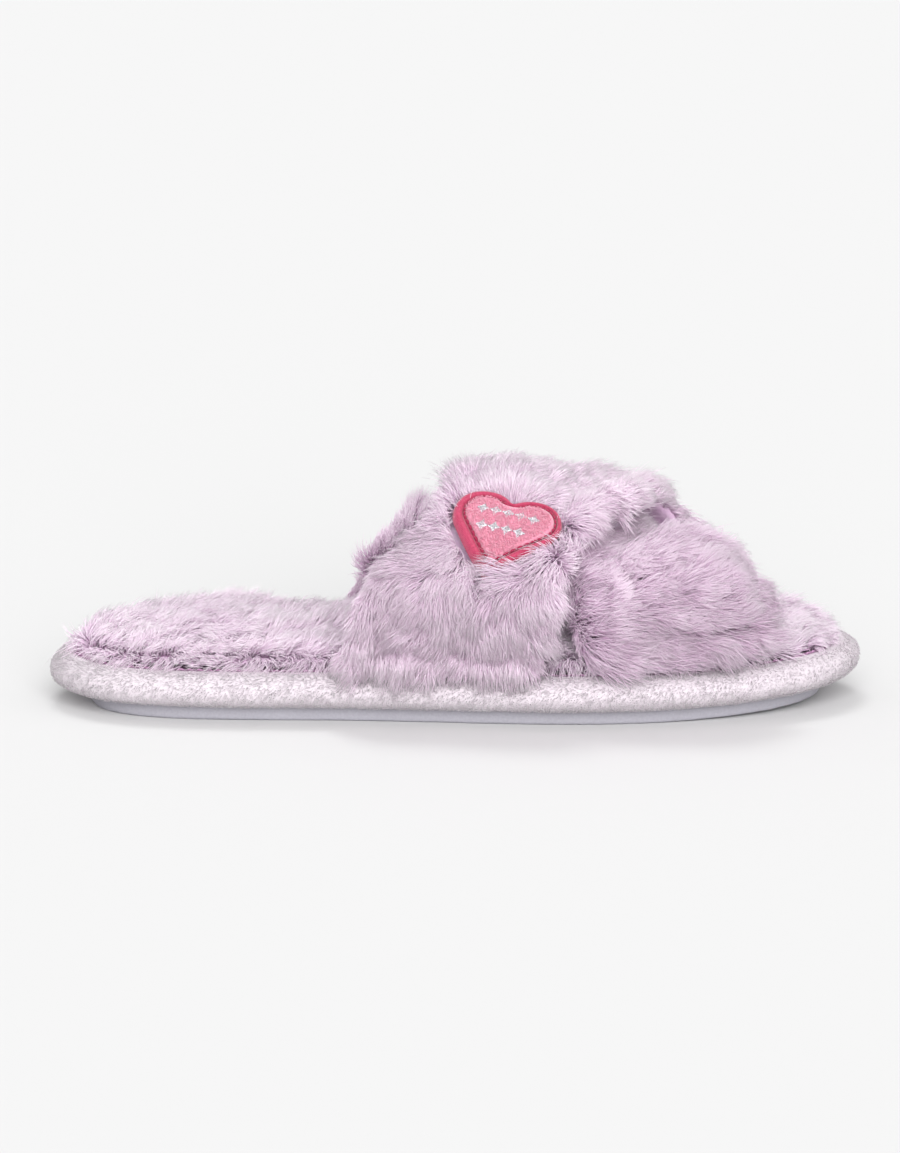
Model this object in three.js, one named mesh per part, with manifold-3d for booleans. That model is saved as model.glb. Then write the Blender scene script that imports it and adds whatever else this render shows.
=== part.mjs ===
// House slipper for the right foot: an open-toe, open-heel slide with two crossing fur straps,
// a fur footbed, a plush-wrapped sole edge and a heart patch on the outer side.
// Millimetres. +X points to the toe, +Y to the inner side of the foot, +Z up.
// The origin lies under the middle of the slipper, on the surface that it stands on.
import * as THREE from 'three';
import { mergeVertices } from 'three/addons/utils/BufferGeometryUtils.js';
import Module from 'manifold-3d';

// Sole outline
const LENGTH = 250;
const FOREFOOT_WIDTH = 96;
const HEEL_WIDTH = 80;
const ARCH_DEPTH = 4;
const HEEL_SQUARENESS = 5.8;
const TOE_SQUARENESS = 3.5;
const TOE_SWING = 5;
const SPRING_LENGTH = 75;
const SPRING_RISE = 3;

// Gap between neighbouring layers that touch when the slipper is worn
const CLEARANCE = 0.3;

// Outsole
const OUTSOLE_THICKNESS = 4.5;
const OUTSOLE_SIDE_INSET = 8;
const OUTSOLE_END_INSET = 12;
const OUTSOLE_EDGE_ROUND = 1;

// Plush wrap around the sole edge, a half-ellipse in section with a flange glued below
const WRAP_HEIGHT = 10.7;
const WRAP_BULGE = 7;
const WRAP_THICKNESS = 1.8;
const WRAP_FLANGE = 8;

// Layers that the foot stands on
const BOARD_THICKNESS = 1.2;
const BOARD_EDGE_GAP = 1.4;
const FOAM_EDGE_HEIGHT = 1;
const FOAM_CROWN = 1.6;
const FOAM_EDGE_INSET = 10.8;
const FOOTBED_PILE = 9;
const FOOTBED_EDGE_ROUND = 9;
const SEAM_THREAD_DIAMETER = 0.6;

// Arch that the straps make over the foot: room between footbed pile and lining, at its peak and at the toe
const STRAP_SEAM_INSET = 8;
const INSTEP_ROOM = 24.9;
const TOE_ROOM = 3.8;
const ARCH_PEAK_FROM_TOE = 115;

// Strap edges, measured along the slipper: at the sole on each side, and over the instep
const TOE_OPENING = 31;
const FRONT_FOOT_WIDTH = 60;
const REAR_FOOT_WIDTH = 72;
const FOOT_GAP = 3;
const CREST_FRONT_FROM_TOE = 68;
const CREST_REAR_FROM_TOE = 125;

// Strap layers, full thickness over the instep and pressed thin where they enter the sole seam
const LINING_THICKNESS = 1.2;
const PADDING_THICKNESS = 3;
const STRAP_PILE = 11;
const FRONT_STRAP_PILE = 15;
const PRESSED_PILE = 4;
const SEAM_LINING = 1;
const SEAM_PADDING = 1.3;
const SEAM_PILE = 3.2;
const SEAM_TAPER = 0.2;
const CROSSING_GAP = 0.6;
const SETTLED_LIFT = 0.4;
const SETTLING_LENGTH = 30;
const CROSSING_MARGIN = 8;
const PILE_RECOVERY = 9;
const STRAP_HEM = 2.5;

// Heart patch on the rear strap
const PATCH_WIDTH = 34;
const PATCH_CLEFT_DEPTH = 4.1;
const PATCH_POINT_ANGLE = Math.PI / 4;
const PATCH_LEAN = -0.38;
const PATCH_FROM_TOE = 110;
const PATCH_TURN = 0.316;
const PATCH_PILE_BELOW = 4.5;
const PATCH_BACKING = 0.8;
const PATCH_BORDER_WIDTH = 3;
const PATCH_BORDER_HEIGHT = 1.5;
const PATCH_THREAD_DIAMETER = 0.7;
const PATCH_CENTRE_HEIGHT = 2;
const PATCH_POCKET_GAP = 0.5;
const MARK_RADIUS = 1.7;
const MARK_WAIST = 0.75;
const MARK_HEIGHT = 0.5;
const MARK_PITCH = 3.7;
const MARK_ROWS = [
  { name: 'upper', count: 5, rise: 3.2 },
  { name: 'lower', count: 4, rise: -2.4 },
];

// Mesh fineness
const RIM_POINTS = 56;
const STRAP_ROWS = 24;
const STRAP_COLUMNS = 8;
const TINY = 1e-3;

const LILAC_FUR = { color: 0xdcc8de, roughness: 0.95, metalness: 0 };
const PALE_PLUSH = { color: 0xe8dbe6, roughness: 0.95, metalness: 0 };
const LINING_CLOTH = { color: 0xe3d6e4, roughness: 0.9, metalness: 0 };
const WHITE_FOAM = { color: 0xf1ece8, roughness: 0.85, metalness: 0 };
const GREY_RUBBER = { color: 0xcdccd8, roughness: 0.7, metalness: 0 };
const BROWN_BOARD = { color: 0xb59b7c, roughness: 0.9, metalness: 0 };
const CRIMSON_SATIN = { color: 0xcf4068, roughness: 0.5, metalness: 0 };
const DARK_CRIMSON = { color: 0x8e2446, roughness: 0.6, metalness: 0 };
const PINK_FELT = { color: 0xef87a6, roughness: 0.9, metalness: 0 };
const SILVER_THREAD = { color: 0xd5d0d6, roughness: 0.35, metalness: 0.6 };

const wasm = await Module();
wasm.setup();

const { lerp, smoothstep } = THREE.MathUtils;
const TOE = LENGTH / 2;

// ---- Solids from rows of points ----

// Turns a surface inside out if its faces point inwards.
function facesOut(geometry) {
  const { array } = geometry.attributes.position;
  const index = geometry.index.array;
  const corner = (k) => new THREE.Vector3().fromArray(array, 3 * index[k]);
  let volume = 0;
  for (let k = 0; k < index.length; k += 3) {
    volume += corner(k).dot(corner(k + 1).cross(corner(k + 2)));
  }
  if (volume < 0) index.reverse();
  return geometry;
}

// Joins equal corners and leaves out the triangles that have no area.
function welded(points, triangles) {
  const loose = new THREE.BufferGeometry().setFromPoints(points);
  loose.setIndex(triangles);
  const joined = mergeVertices(loose, TINY);
  const old = joined.index.array;
  const kept = [];
  for (let k = 0; k < old.length; k += 3) {
    const [a, b, c] = [old[k], old[k + 1], old[k + 2]];
    if (a !== b && b !== c && c !== a) kept.push(a, b, c);
  }
  joined.setIndex(kept);
  return facesOut(joined);
}

// A solid whose skin runs from row to row; every row is a closed loop with as many points.
// The first and last rows are folded flat, or the last row joins the first in a ring.
// Each four-sided face is split along its shorter diagonal.
function rowSolid(rows, ring = false) {
  const width = rows[0].length;
  const points = rows.flat();
  const triangles = [];
  const steps = ring ? rows.length : rows.length - 1;
  for (let i = 0; i < steps; i += 1) {
    for (let k = 0; k < width; k += 1) {
      const a = i * width + k;
      const b = i * width + ((k + 1) % width);
      const c = ((i + 1) % rows.length) * width + ((k + 1) % width);
      const d = ((i + 1) % rows.length) * width + k;
      const forward = points[a].distanceTo(points[c]) < points[b].distanceTo(points[d]);
      triangles.push(...(forward ? [a, d, c, a, c, b] : [a, d, b, b, d, c]));
    }
  }
  return welded(points, triangles);
}

// ---- Sole outline ----

function centreLine(x) {
  return TOE_SWING * smoothstep(x, 0, TOE);
}

function halfWidth(x, side) {
  const along = x / LENGTH;
  const straight = lerp(HEEL_WIDTH, FOREFOOT_WIDTH, smoothstep(along, -0.2, 0.24)) / 2;
  const arch = side > 0 ? ARCH_DEPTH * Math.exp(-(((along + 0.06) / 0.13) ** 2)) : 0;
  const squareness = x < 0 ? HEEL_SQUARENESS : TOE_SQUARENESS;
  const ends = Math.sqrt(Math.max(0, 1 - Math.abs(x / TOE) ** squareness));
  return (straight - arch) * ends;
}

function lift(x) {
  return SPRING_RISE * Math.max(0, (x - TOE + SPRING_LENGTH) / SPRING_LENGTH) ** 2;
}

// The turn goes from the heel (0) along the outer side to the toe (pi) and back along the inner side.
function rimPoint(turn) {
  const side = Math.sin(turn) > 0 ? -1 : 1;
  const x = -TOE * Math.cos(turn);
  return new THREE.Vector2(x, centreLine(x) + side * halfWidth(x, side));
}

function rimNormal(turn) {
  const along = rimPoint(turn + TINY).sub(rimPoint(turn - TINY)).normalize();
  return new THREE.Vector2(along.y, -along.x);
}

const rimTurns = Array.from({ length: RIM_POINTS }, (_, k) => (2 * Math.PI * k) / RIM_POINTS);
const SPINE_SHARE = 0.8;

// One loop around the sole: inset from the rim, then drawn towards the spine by a share (1 folds it flat).
function rimLoop({ inset, z, inward = 0 }) {
  return rimTurns.map((turn) => {
    const normal = rimNormal(turn);
    const depth = typeof inset === 'function' ? inset(normal) : inset;
    const spineX = SPINE_SHARE * rimPoint(turn).x;
    const point = rimPoint(turn).addScaledVector(normal, -depth);
    point.lerp(new THREE.Vector2(spineX, centreLine(spineX)), inward);
    return new THREE.Vector3(point.x, point.y, z + lift(point.x));
  });
}

const soleSolid = (profile) => rowSolid(profile.map(rimLoop));
const ringSolid = (section) => rowSolid(section.map(rimLoop), true);

// ---- Levels of the sole ----

const WRAP_BOTTOM = OUTSOLE_THICKNESS + CLEARANCE;
const WRAP_MIDDLE = WRAP_BOTTOM + WRAP_HEIGHT / 2;
const WRAP_TOP = WRAP_BOTTOM + WRAP_HEIGHT;
const MIDSOLE_SHRINK = WRAP_THICKNESS + CLEARANCE;
const MIDSOLE_TOP = WRAP_TOP - MIDSOLE_SHRINK;
const BOARD_TOP = MIDSOLE_TOP + CLEARANCE + BOARD_THICKNESS;
const FOAM_BOTTOM = BOARD_TOP + CLEARANCE;
const FOAM_TOP = FOAM_BOTTOM + FOAM_EDGE_HEIGHT + FOAM_CROWN;
const FOOTBED_TOP = FOAM_TOP + CLEARANCE + FOOTBED_PILE;
const SEAM_LEVEL = WRAP_TOP + CLEARANCE;

// Points on the wrap's half-ellipse, shrunk inwards, from its top (a quarter turn) to its bottom.
function wrapArc(shrink, steps) {
  return Array.from({ length: steps + 1 }, (_, k) => {
    const turn = Math.PI / 2 - (Math.PI * k) / steps;
    const bulge = (WRAP_BULGE - shrink) * Math.cos(turn);
    return { inset: WRAP_BULGE - bulge, z: WRAP_MIDDLE + (WRAP_HEIGHT / 2 - shrink) * Math.sin(turn) };
  });
}

function outsole() {
  const edge = (normal) => lerp(OUTSOLE_SIDE_INSET, OUTSOLE_END_INSET, normal.x ** 2);
  const rounded = (normal) => edge(normal) + OUTSOLE_EDGE_ROUND;
  return soleSolid([
    { inset: rounded, z: 0, inward: 1 },
    { inset: rounded, z: 0 },
    { inset: edge, z: OUTSOLE_EDGE_ROUND },
    { inset: edge, z: OUTSOLE_THICKNESS },
    { inset: edge, z: OUTSOLE_THICKNESS, inward: 1 },
  ]);
}

function sideWrap() {
  const flangeEnd = WRAP_BULGE + WRAP_FLANGE;
  const inner = wrapArc(WRAP_THICKNESS, 6).reverse();
  return ringSolid([
    ...wrapArc(0, 6),
    { inset: flangeEnd, z: WRAP_BOTTOM },
    { inset: flangeEnd, z: WRAP_BOTTOM + WRAP_THICKNESS },
    ...inner,
  ]);
}

function midsole() {
  const step = WRAP_BULGE + WRAP_FLANGE + CLEARANCE;
  const bulge = wrapArc(MIDSOLE_SHRINK, 6).reverse();
  return soleSolid([
    { inset: step, z: WRAP_BOTTOM, inward: 1 },
    { inset: step, z: WRAP_BOTTOM },
    { inset: step, z: WRAP_BOTTOM + MIDSOLE_SHRINK },
    ...bulge,
    { inset: WRAP_BULGE, z: MIDSOLE_TOP, inward: 1 },
  ]);
}

function insoleBoard() {
  const inset = WRAP_BULGE + BOARD_EDGE_GAP;
  const bottom = MIDSOLE_TOP + CLEARANCE;
  return soleSolid([
    { inset, z: bottom, inward: 1 },
    { inset, z: bottom },
    { inset, z: BOARD_TOP },
    { inset, z: BOARD_TOP, inward: 1 },
  ]);
}

// The crowned top of the footbed foam, from its edge to the spine, raised and widened by a margin.
function footbedCrown(margin) {
  const inset = FOAM_EDGE_INSET - margin;
  const edge = FOAM_BOTTOM + FOAM_EDGE_HEIGHT + margin;
  return [
    { inset, z: edge },
    { inset: inset + 5, z: edge + 0.55 * FOAM_CROWN },
    { inset: inset + 5, z: FOAM_TOP + margin, inward: 0.5 },
    { inset: inset + 5, z: FOAM_TOP + margin, inward: 1 },
  ];
}

function footbedFoam() {
  return soleSolid([
    { inset: FOAM_EDGE_INSET, z: FOAM_BOTTOM, inward: 1 },
    { inset: FOAM_EDGE_INSET, z: FOAM_BOTTOM },
    ...footbedCrown(0),
  ]);
}

function footbedFur() {
  const outer = STRAP_SEAM_INSET + CLEARANCE;
  const rise = FOOTBED_TOP - SEAM_LEVEL;
  const under = footbedCrown(CLEARANCE).reverse();
  return soleSolid([
    ...under,
    { inset: FOAM_EDGE_INSET - CLEARANCE, z: SEAM_LEVEL },
    { inset: outer, z: SEAM_LEVEL },
    { inset: outer + 0.05 * FOOTBED_EDGE_ROUND, z: SEAM_LEVEL + 0.26 * rise },
    { inset: outer + 0.24 * FOOTBED_EDGE_ROUND, z: SEAM_LEVEL + 0.56 * rise },
    { inset: outer + 0.6 * FOOTBED_EDGE_ROUND, z: SEAM_LEVEL + 0.82 * rise },
    { inset: outer + FOOTBED_EDGE_ROUND, z: SEAM_LEVEL + 0.93 * rise },
    { inset: outer + FOOTBED_EDGE_ROUND, z: FOOTBED_TOP, inward: 0.5 },
    { inset: outer + FOOTBED_EDGE_ROUND, z: FOOTBED_TOP, inward: 1 },
  ]);
}

function seamThread() {
  const radius = SEAM_THREAD_DIAMETER / 2;
  const middle = WRAP_BULGE + BOARD_EDGE_GAP / 2;
  const level = SEAM_LEVEL - CLEARANCE - radius;
  return ringSolid(Array.from({ length: 6 }, (_, k) => {
    const turn = (Math.PI * k) / 3;
    return { inset: middle + radius * Math.cos(turn), z: level + radius * Math.sin(turn) };
  }));
}

// ---- Arch of the straps ----

// Where the lining meets the sole seam on one side.
function seamWidth(x, side) {
  const slope = (halfWidth(x + TINY, side) - halfWidth(x - TINY, side)) / (2 * TINY);
  return halfWidth(x, side) - STRAP_SEAM_INSET * Math.hypot(1, slope);
}

// A point on the lining's arch; share goes from the outer side (0) over the instep to the inner side (1).
function archPoint(x, share) {
  const outer = centreLine(x) - seamWidth(x, -1);
  const inner = centreLine(x) + seamWidth(x, 1);
  const beforePeak = Math.max(0, x - TOE + ARCH_PEAK_FROM_TOE);
  const fall = (beforePeak / (ARCH_PEAK_FROM_TOE - TOE_OPENING)) ** 2;
  const crest = FOOTBED_TOP + lerp(INSTEP_ROOM, TOE_ROOM, fall);
  const foot = SEAM_LEVEL + lift(x);
  const turn = Math.PI * share;
  const y = (outer + inner) / 2 - ((inner - outer) / 2) * Math.cos(turn);
  return new THREE.Vector3(x, y, foot + (crest - SEAM_LEVEL) * Math.sin(turn));
}

function archNormal(x, share) {
  const along = archPoint(x + TINY, share).sub(archPoint(x - TINY, share));
  const around = archPoint(x, share + TINY).sub(archPoint(x, share - TINY));
  return around.cross(along).negate().normalize();
}

const offsetPoint = (x, share, offset) => archPoint(x, share).addScaledVector(archNormal(x, share), offset);

// How far a place is out of the seam: 0 where the strap is sewn in, 1 where it has its full thickness.
const fullness = (share) => smoothstep(Math.min(share, 1 - share), 0, SEAM_TAPER);

// ---- Strap edges ----

const FRONT_FOOT = { front: TOE - TOE_OPENING, rear: TOE - TOE_OPENING - FRONT_FOOT_WIDTH };
const REAR_FOOT = { front: FRONT_FOOT.rear - FOOT_GAP, rear: FRONT_FOOT.rear - FOOT_GAP - REAR_FOOT_WIDTH };
const CREST = { front: TOE - CREST_FRONT_FROM_TOE, rear: TOE - CREST_REAR_FROM_TOE };

// The edges run from the sole to the crest. The edges that cross stay upright, side by side,
// until the straps have left the seam and have their full thickness.
const CROSSING_START = 2 * SEAM_TAPER;

function edgesOfFrontFoot(rise) {
  return {
    front: lerp(FRONT_FOOT.front, CREST.front, smoothstep(rise, 0.2, 1)),
    rear: lerp(FRONT_FOOT.rear, CREST.rear, smoothstep(rise, CROSSING_START, 1)),
  };
}

function edgesOfRearFoot(rise) {
  return {
    front: lerp(REAR_FOOT.front, CREST.front, smoothstep(rise, CROSSING_START, 1)),
    rear: lerp(REAR_FOOT.rear, CREST.rear, Math.sin((rise * Math.PI) / 2) ** 1.9),
  };
}

const riseOf = (share) => 2 * Math.min(share, 1 - share);

// The rear strap starts behind on the outer side and ends in front on the inner side, and lies on top.
function rearStrapEdges(share) {
  return share < 0.5 ? edgesOfRearFoot(riseOf(share)) : edgesOfFrontFoot(riseOf(share));
}

function frontStrapEdges(share) {
  return share < 0.5 ? edgesOfFrontFoot(riseOf(share)) : edgesOfRearFoot(riseOf(share));
}

// ---- Strap layers ----

// Offsets from the arch at which the layers of a strap start and end, sewn in (seam) and over the instep.
const LINING = { seam: [0, SEAM_LINING], full: [0, LINING_THICKNESS] };
const PADDING = layerOn(LINING, SEAM_PADDING, PADDING_THICKNESS);
const FUR = layerOn(PADDING, SEAM_PILE, STRAP_PILE);
const PRESSED_TOP = FUR.full[0] + PRESSED_PILE;
const CROSSING_LIFT = PRESSED_TOP + CROSSING_GAP;

function layerOn(below, seamThickness, fullThickness) {
  const seam = below.seam[1] + CLEARANCE;
  const full = below.full[1] + CLEARANCE;
  return { seam: [seam, seam + seamThickness], full: [full, full + fullThickness] };
}

const levelAt = (layer, face, share) => lerp(layer.seam[face], layer.full[face], fullness(share));

// Distance along the slipper from a place to a strap, 0 on the strap.
function distanceTo(edges, x, share) {
  const { rear, front } = edges(share);
  return Math.max(rear - x, x - front, 0);
}

// The rear strap rides over the front strap where they cross, and settles down away from it.
function rearLift(share, x) {
  const away = distanceTo(frontStrapEdges, x, share) - CROSSING_MARGIN;
  const settled = smoothstep(away, 0, SETTLING_LENGTH);
  return CROSSING_LIFT * fullness(share) * lerp(1, SETTLED_LIFT, settled);
}

// A fur strap is fullest along its middle and rounds off to its edges.
const puff = (across) => 0.5 + 0.5 * Math.sqrt(1 - Math.abs(2 * across - 1) ** 3);

// Share by which the rear strap presses a place of the front strap down.
function pressed(share, x) {
  const away = distanceTo(rearStrapEdges, x, share) - CROSSING_MARGIN;
  return 1 - smoothstep(away, 0, PILE_RECOVERY);
}

// Places across a strap, from its rear edge to its front edge; the fur also covers the hems.
function columns(rear, front, coversHems) {
  const steps = Array.from({ length: STRAP_COLUMNS + 1 }, (_, k) => k / STRAP_COLUMNS);
  const places = steps.map((step) => lerp(rear + STRAP_HEM, front - STRAP_HEM, step));
  return coversHems ? [rear, ...places, front] : places;
}

// A layer of a strap, closed all round: its inner face, its outer face and the edges between them.
function strapSolid(edges, coversHems, inner, outer) {
  const rows = [];
  for (let i = 0; i <= STRAP_ROWS; i += 1) {
    const share = i / STRAP_ROWS;
    const { rear, front } = edges(share);
    const places = columns(rear, front, coversHems);
    const below = places.map((x) => offsetPoint(x, share, inner(share, x)));
    const above = places.map((x) => offsetPoint(x, share, outer(share, x, (x - rear) / (front - rear))));
    rows.push([...below, ...above.reverse()]);
  }
  const foldedFlat = (row) => row.map((point, k) => point.clone().lerp(row[row.length - 1 - k], 0.5));
  return rowSolid([foldedFlat(rows[0]), ...rows, foldedFlat(rows[STRAP_ROWS])]);
}

function strapLayers(edges, liftAt, furTop) {
  const face = (layer, side) => (share, x) => liftAt(share, x) + levelAt(layer, side, share);
  const furOuter = (share, x, across) => {
    const base = levelAt(FUR, 0, share);
    return liftAt(share, x) + base + (furTop(share, x) - base) * puff(across);
  };
  return {
    lining: strapSolid(edges, false, face(LINING, 0), face(LINING, 1)),
    padding: strapSolid(edges, false, face(PADDING, 0), face(PADDING, 1)),
    fur: strapSolid(edges, true, face(FUR, 0), furOuter),
  };
}

function frontStrap() {
  const top = (share, x) => {
    const free = lerp(FUR.seam[1], FUR.full[0] + FRONT_STRAP_PILE, fullness(share));
    const low = lerp(FUR.seam[1], PRESSED_TOP, fullness(share));
    return lerp(free, low, pressed(share, x));
  };
  return strapLayers(frontStrapEdges, () => 0, top);
}

const rearStrap = () => strapLayers(rearStrapEdges, rearLift, (share) => levelAt(FUR, 1, share));

// ---- Heart patch ----

const PATCH_X = TOE - PATCH_FROM_TOE;
const PATCH_SEAT = FUR.full[0] + PATCH_PILE_BELOW;
const PATCH_BACKING_TOP = PATCH_SEAT + CLEARANCE + PATCH_BACKING;
const PATCH_LAYER_BOTTOM = PATCH_BACKING_TOP + CLEARANCE;

// Lobe radius at which two lobes span the width and meet in a cleft of the stated depth.
const PATCH_LOBE_RADIUS = PATCH_WIDTH / 2 + PATCH_CLEFT_DEPTH - Math.sqrt(PATCH_WIDTH * PATCH_CLEFT_DEPTH);
const PATCH_LOBE_SPACING = PATCH_WIDTH / 2 - PATCH_LOBE_RADIUS;

// A point above the rear strap's lining, which follows the strap's lift.
const onRearStrap = (x, share, offset) => offsetPoint(x, share, offset + rearLift(share, x));

// Length around the arch at the patch's level for a whole share.
const PATCH_GIRTH = onRearStrap(PATCH_X, PATCH_TURN + TINY, PATCH_SEAT)
  .distanceTo(onRearStrap(PATCH_X, PATCH_TURN - TINY, PATCH_SEAT)) / (2 * TINY);

// A point of the patch, given across and up the heart, on the curved face of the strap.
function onPatch(across, up, offset) {
  const flat = new THREE.Vector2(across, up).rotateAround(new THREE.Vector2(), PATCH_LEAN);
  return onRearStrap(PATCH_X + flat.x, PATCH_TURN + flat.y / PATCH_GIRTH, offset);
}

// Heart of two lobes and two straight sides, inset all round; it starts at the cleft, which an inset rounds.
function heart(inset) {
  const radius = PATCH_LOBE_RADIUS - inset;
  const widest = Math.max(PATCH_LOBE_RADIUS, radius);
  const start = Math.acos(-PATCH_LOBE_SPACING / widest);
  const end = -PATCH_POINT_ANGLE;
  const right = [];
  const arcPoints = (centreX, centreY, reach, from, to, steps) => {
    for (let k = 0; k <= steps; k += 1) {
      const turn = lerp(from, to, k / steps);
      right.push(new THREE.Vector2(centreX + reach * Math.cos(turn), centreY + reach * Math.sin(turn)));
    }
  };
  arcPoints(0, widest * Math.sin(start), Math.max(inset, 0), -Math.PI / 2, start - Math.PI, 2);
  arcPoints(PATCH_LOBE_SPACING, 0, radius, start, end, 10);
  const tangent = right[right.length - 1];
  const reach = PATCH_LOBE_SPACING * Math.cos(end) + radius;
  const point = new THREE.Vector2(0, -reach / Math.sin(PATCH_POINT_ANGLE));
  for (let k = 1; k <= 3; k += 1) right.push(tangent.clone().lerp(point, k / 3));
  const left = right.slice(1, -1).reverse().map((p) => new THREE.Vector2(-p.x, p.y));
  return [...right, ...left];
}

const PATCH_MIDDLE = new THREE.Vector2(0, -2);

// One loop of the patch: a heart drawn towards its middle by a share (1 folds it to a point).
function heartLoop({ inset, offset, inward = 0 }) {
  return heart(inset).map((p) => {
    const q = p.lerp(PATCH_MIDDLE, inward);
    return onPatch(q.x, q.y, offset);
  });
}

const heartSolid = (inset, bottom, top, edgeTop) => rowSolid([
  { inset, offset: bottom, inward: 1 },
  { inset, offset: bottom, inward: 0.5 },
  { inset, offset: bottom },
  { inset, offset: edgeTop },
  { inset: inset + 1, offset: top },
  { inset: inset + 1, offset: top, inward: 0.5 },
  { inset: inset + 1, offset: top, inward: 1 },
].map(heartLoop));

const heartRing = (section) => rowSolid(section.map(heartLoop), true);

function patchBacking() {
  const bottom = PATCH_SEAT + CLEARANCE;
  return heartSolid(0, bottom, PATCH_BACKING_TOP, PATCH_BACKING_TOP - 0.2);
}

function patchBorder() {
  const top = PATCH_LAYER_BOTTOM + PATCH_BORDER_HEIGHT;
  const shoulder = PATCH_LAYER_BOTTOM + 0.6 * PATCH_BORDER_HEIGHT;
  return heartRing([
    { inset: 0, offset: PATCH_LAYER_BOTTOM },
    { inset: 0, offset: shoulder },
    { inset: 0.25 * PATCH_BORDER_WIDTH, offset: top },
    { inset: 0.75 * PATCH_BORDER_WIDTH, offset: top },
    { inset: PATCH_BORDER_WIDTH, offset: shoulder },
    { inset: PATCH_BORDER_WIDTH, offset: PATCH_LAYER_BOTTOM },
  ]);
}

function patchThread() {
  const radius = PATCH_THREAD_DIAMETER / 2;
  const middle = PATCH_BORDER_WIDTH + CLEARANCE + radius;
  return heartRing(Array.from({ length: 5 }, (_, k) => {
    const turn = (2 * Math.PI * k) / 5;
    return {
      inset: middle + radius * Math.cos(turn),
      offset: PATCH_LAYER_BOTTOM + radius + radius * Math.sin(turn),
    };
  }));
}

const PATCH_CENTRE_INSET = PATCH_BORDER_WIDTH + PATCH_THREAD_DIAMETER + 2 * CLEARANCE;
const PATCH_CENTRE_TOP = PATCH_LAYER_BOTTOM + PATCH_CENTRE_HEIGHT;

function patchCentre() {
  const edgeTop = PATCH_LAYER_BOTTOM + 0.5 * PATCH_CENTRE_HEIGHT;
  return heartSolid(PATCH_CENTRE_INSET, PATCH_LAYER_BOTTOM, PATCH_CENTRE_TOP, edgeTop);
}

// The recess that the patch presses into the fur, open upwards.
function patchPocket() {
  return heartSolid(-PATCH_POCKET_GAP, PATCH_SEAT, PATCH_SEAT + 3 * STRAP_PILE, PATCH_SEAT + 3 * STRAP_PILE);
}

// A small four-pointed star in raised thread.
function patchMark(across, up) {
  const bottom = PATCH_CENTRE_TOP + CLEARANCE;
  const loop = (radiusShare, offset) => Array.from({ length: 8 }, (_, k) => {
    const reach = radiusShare * (k % 2 ? MARK_WAIST : MARK_RADIUS);
    const turn = (Math.PI * k) / 4;
    return onPatch(across + reach * Math.cos(turn), up + reach * Math.sin(turn), offset);
  });
  return rowSolid([loop(0, bottom), loop(1, bottom), loop(0.8, bottom + MARK_HEIGHT), loop(0, bottom + MARK_HEIGHT)]);
}

// ---- Cutting ----

function toManifold(geometry) {
  const vertProperties = new Float32Array(geometry.attributes.position.array);
  const triVerts = new Uint32Array(geometry.index.array);
  return new wasm.Manifold(new wasm.Mesh({ numProp: 3, vertProperties, triVerts }));
}

function cutBy(geometry, tool) {
  const { vertProperties, triVerts } = toManifold(geometry).subtract(toManifold(tool)).getMesh();
  const cut = new THREE.BufferGeometry();
  cut.setAttribute('position', new THREE.Float32BufferAttribute(vertProperties, 3));
  cut.setIndex(new THREE.Uint32BufferAttribute(triVerts, 1));
  return cut;
}

// ---- Assembly ----

const slipper = new THREE.Group();
slipper.name = 'house_slipper';

function add(group, name, geometry, look) {
  const mesh = new THREE.Mesh(geometry, new THREE.MeshStandardMaterial(look));
  mesh.name = name;
  group.add(mesh);
}

const sole = new THREE.Group();
add(sole, 'outsole', outsole(), GREY_RUBBER);
add(sole, 'side_wrap', sideWrap(), PALE_PLUSH);
add(sole, 'midsole_foam', midsole(), WHITE_FOAM);
add(sole, 'insole_board', insoleBoard(), BROWN_BOARD);
add(sole, 'footbed_foam', footbedFoam(), WHITE_FOAM);
add(sole, 'footbed_fur', footbedFur(), LILAC_FUR);
add(sole, 'sole_seam_thread', seamThread(), PALE_PLUSH);
slipper.add(sole);

const upper = new THREE.Group();
const front = frontStrap();
const rear = rearStrap();
add(upper, 'front_strap_lining', front.lining, LINING_CLOTH);
add(upper, 'front_strap_padding', front.padding, WHITE_FOAM);
add(upper, 'front_strap_fur', front.fur, LILAC_FUR);
add(upper, 'rear_strap_lining', rear.lining, LINING_CLOTH);
add(upper, 'rear_strap_padding', rear.padding, WHITE_FOAM);
add(upper, 'rear_strap_fur', cutBy(rear.fur, patchPocket()), LILAC_FUR);
slipper.add(upper);

const patch = new THREE.Group();
add(patch, 'patch_backing', patchBacking(), CRIMSON_SATIN);
add(patch, 'patch_border', patchBorder(), CRIMSON_SATIN);
add(patch, 'patch_border_thread', patchThread(), DARK_CRIMSON);
add(patch, 'patch_centre', patchCentre(), PINK_FELT);
for (const { name, count, rise } of MARK_ROWS) {
  for (let k = 0; k < count; k += 1) {
    const across = (k - (count - 1) / 2) * MARK_PITCH;
    add(patch, `patch_star_${name}_${k + 1}`, patchMark(across, rise), SILVER_THREAD);
  }
}
slipper.add(patch);

// The origin is moved under the middle of the slipper's outer box.
const middle = new THREE.Box3().setFromObject(slipper).getCenter(new THREE.Vector3());
slipper.position.set(-middle.x, -middle.y, 0);

export default slipper;
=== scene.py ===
import math
import bpy
import numpy as np
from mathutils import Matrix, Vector
from mathutils.kdtree import KDTree


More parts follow.
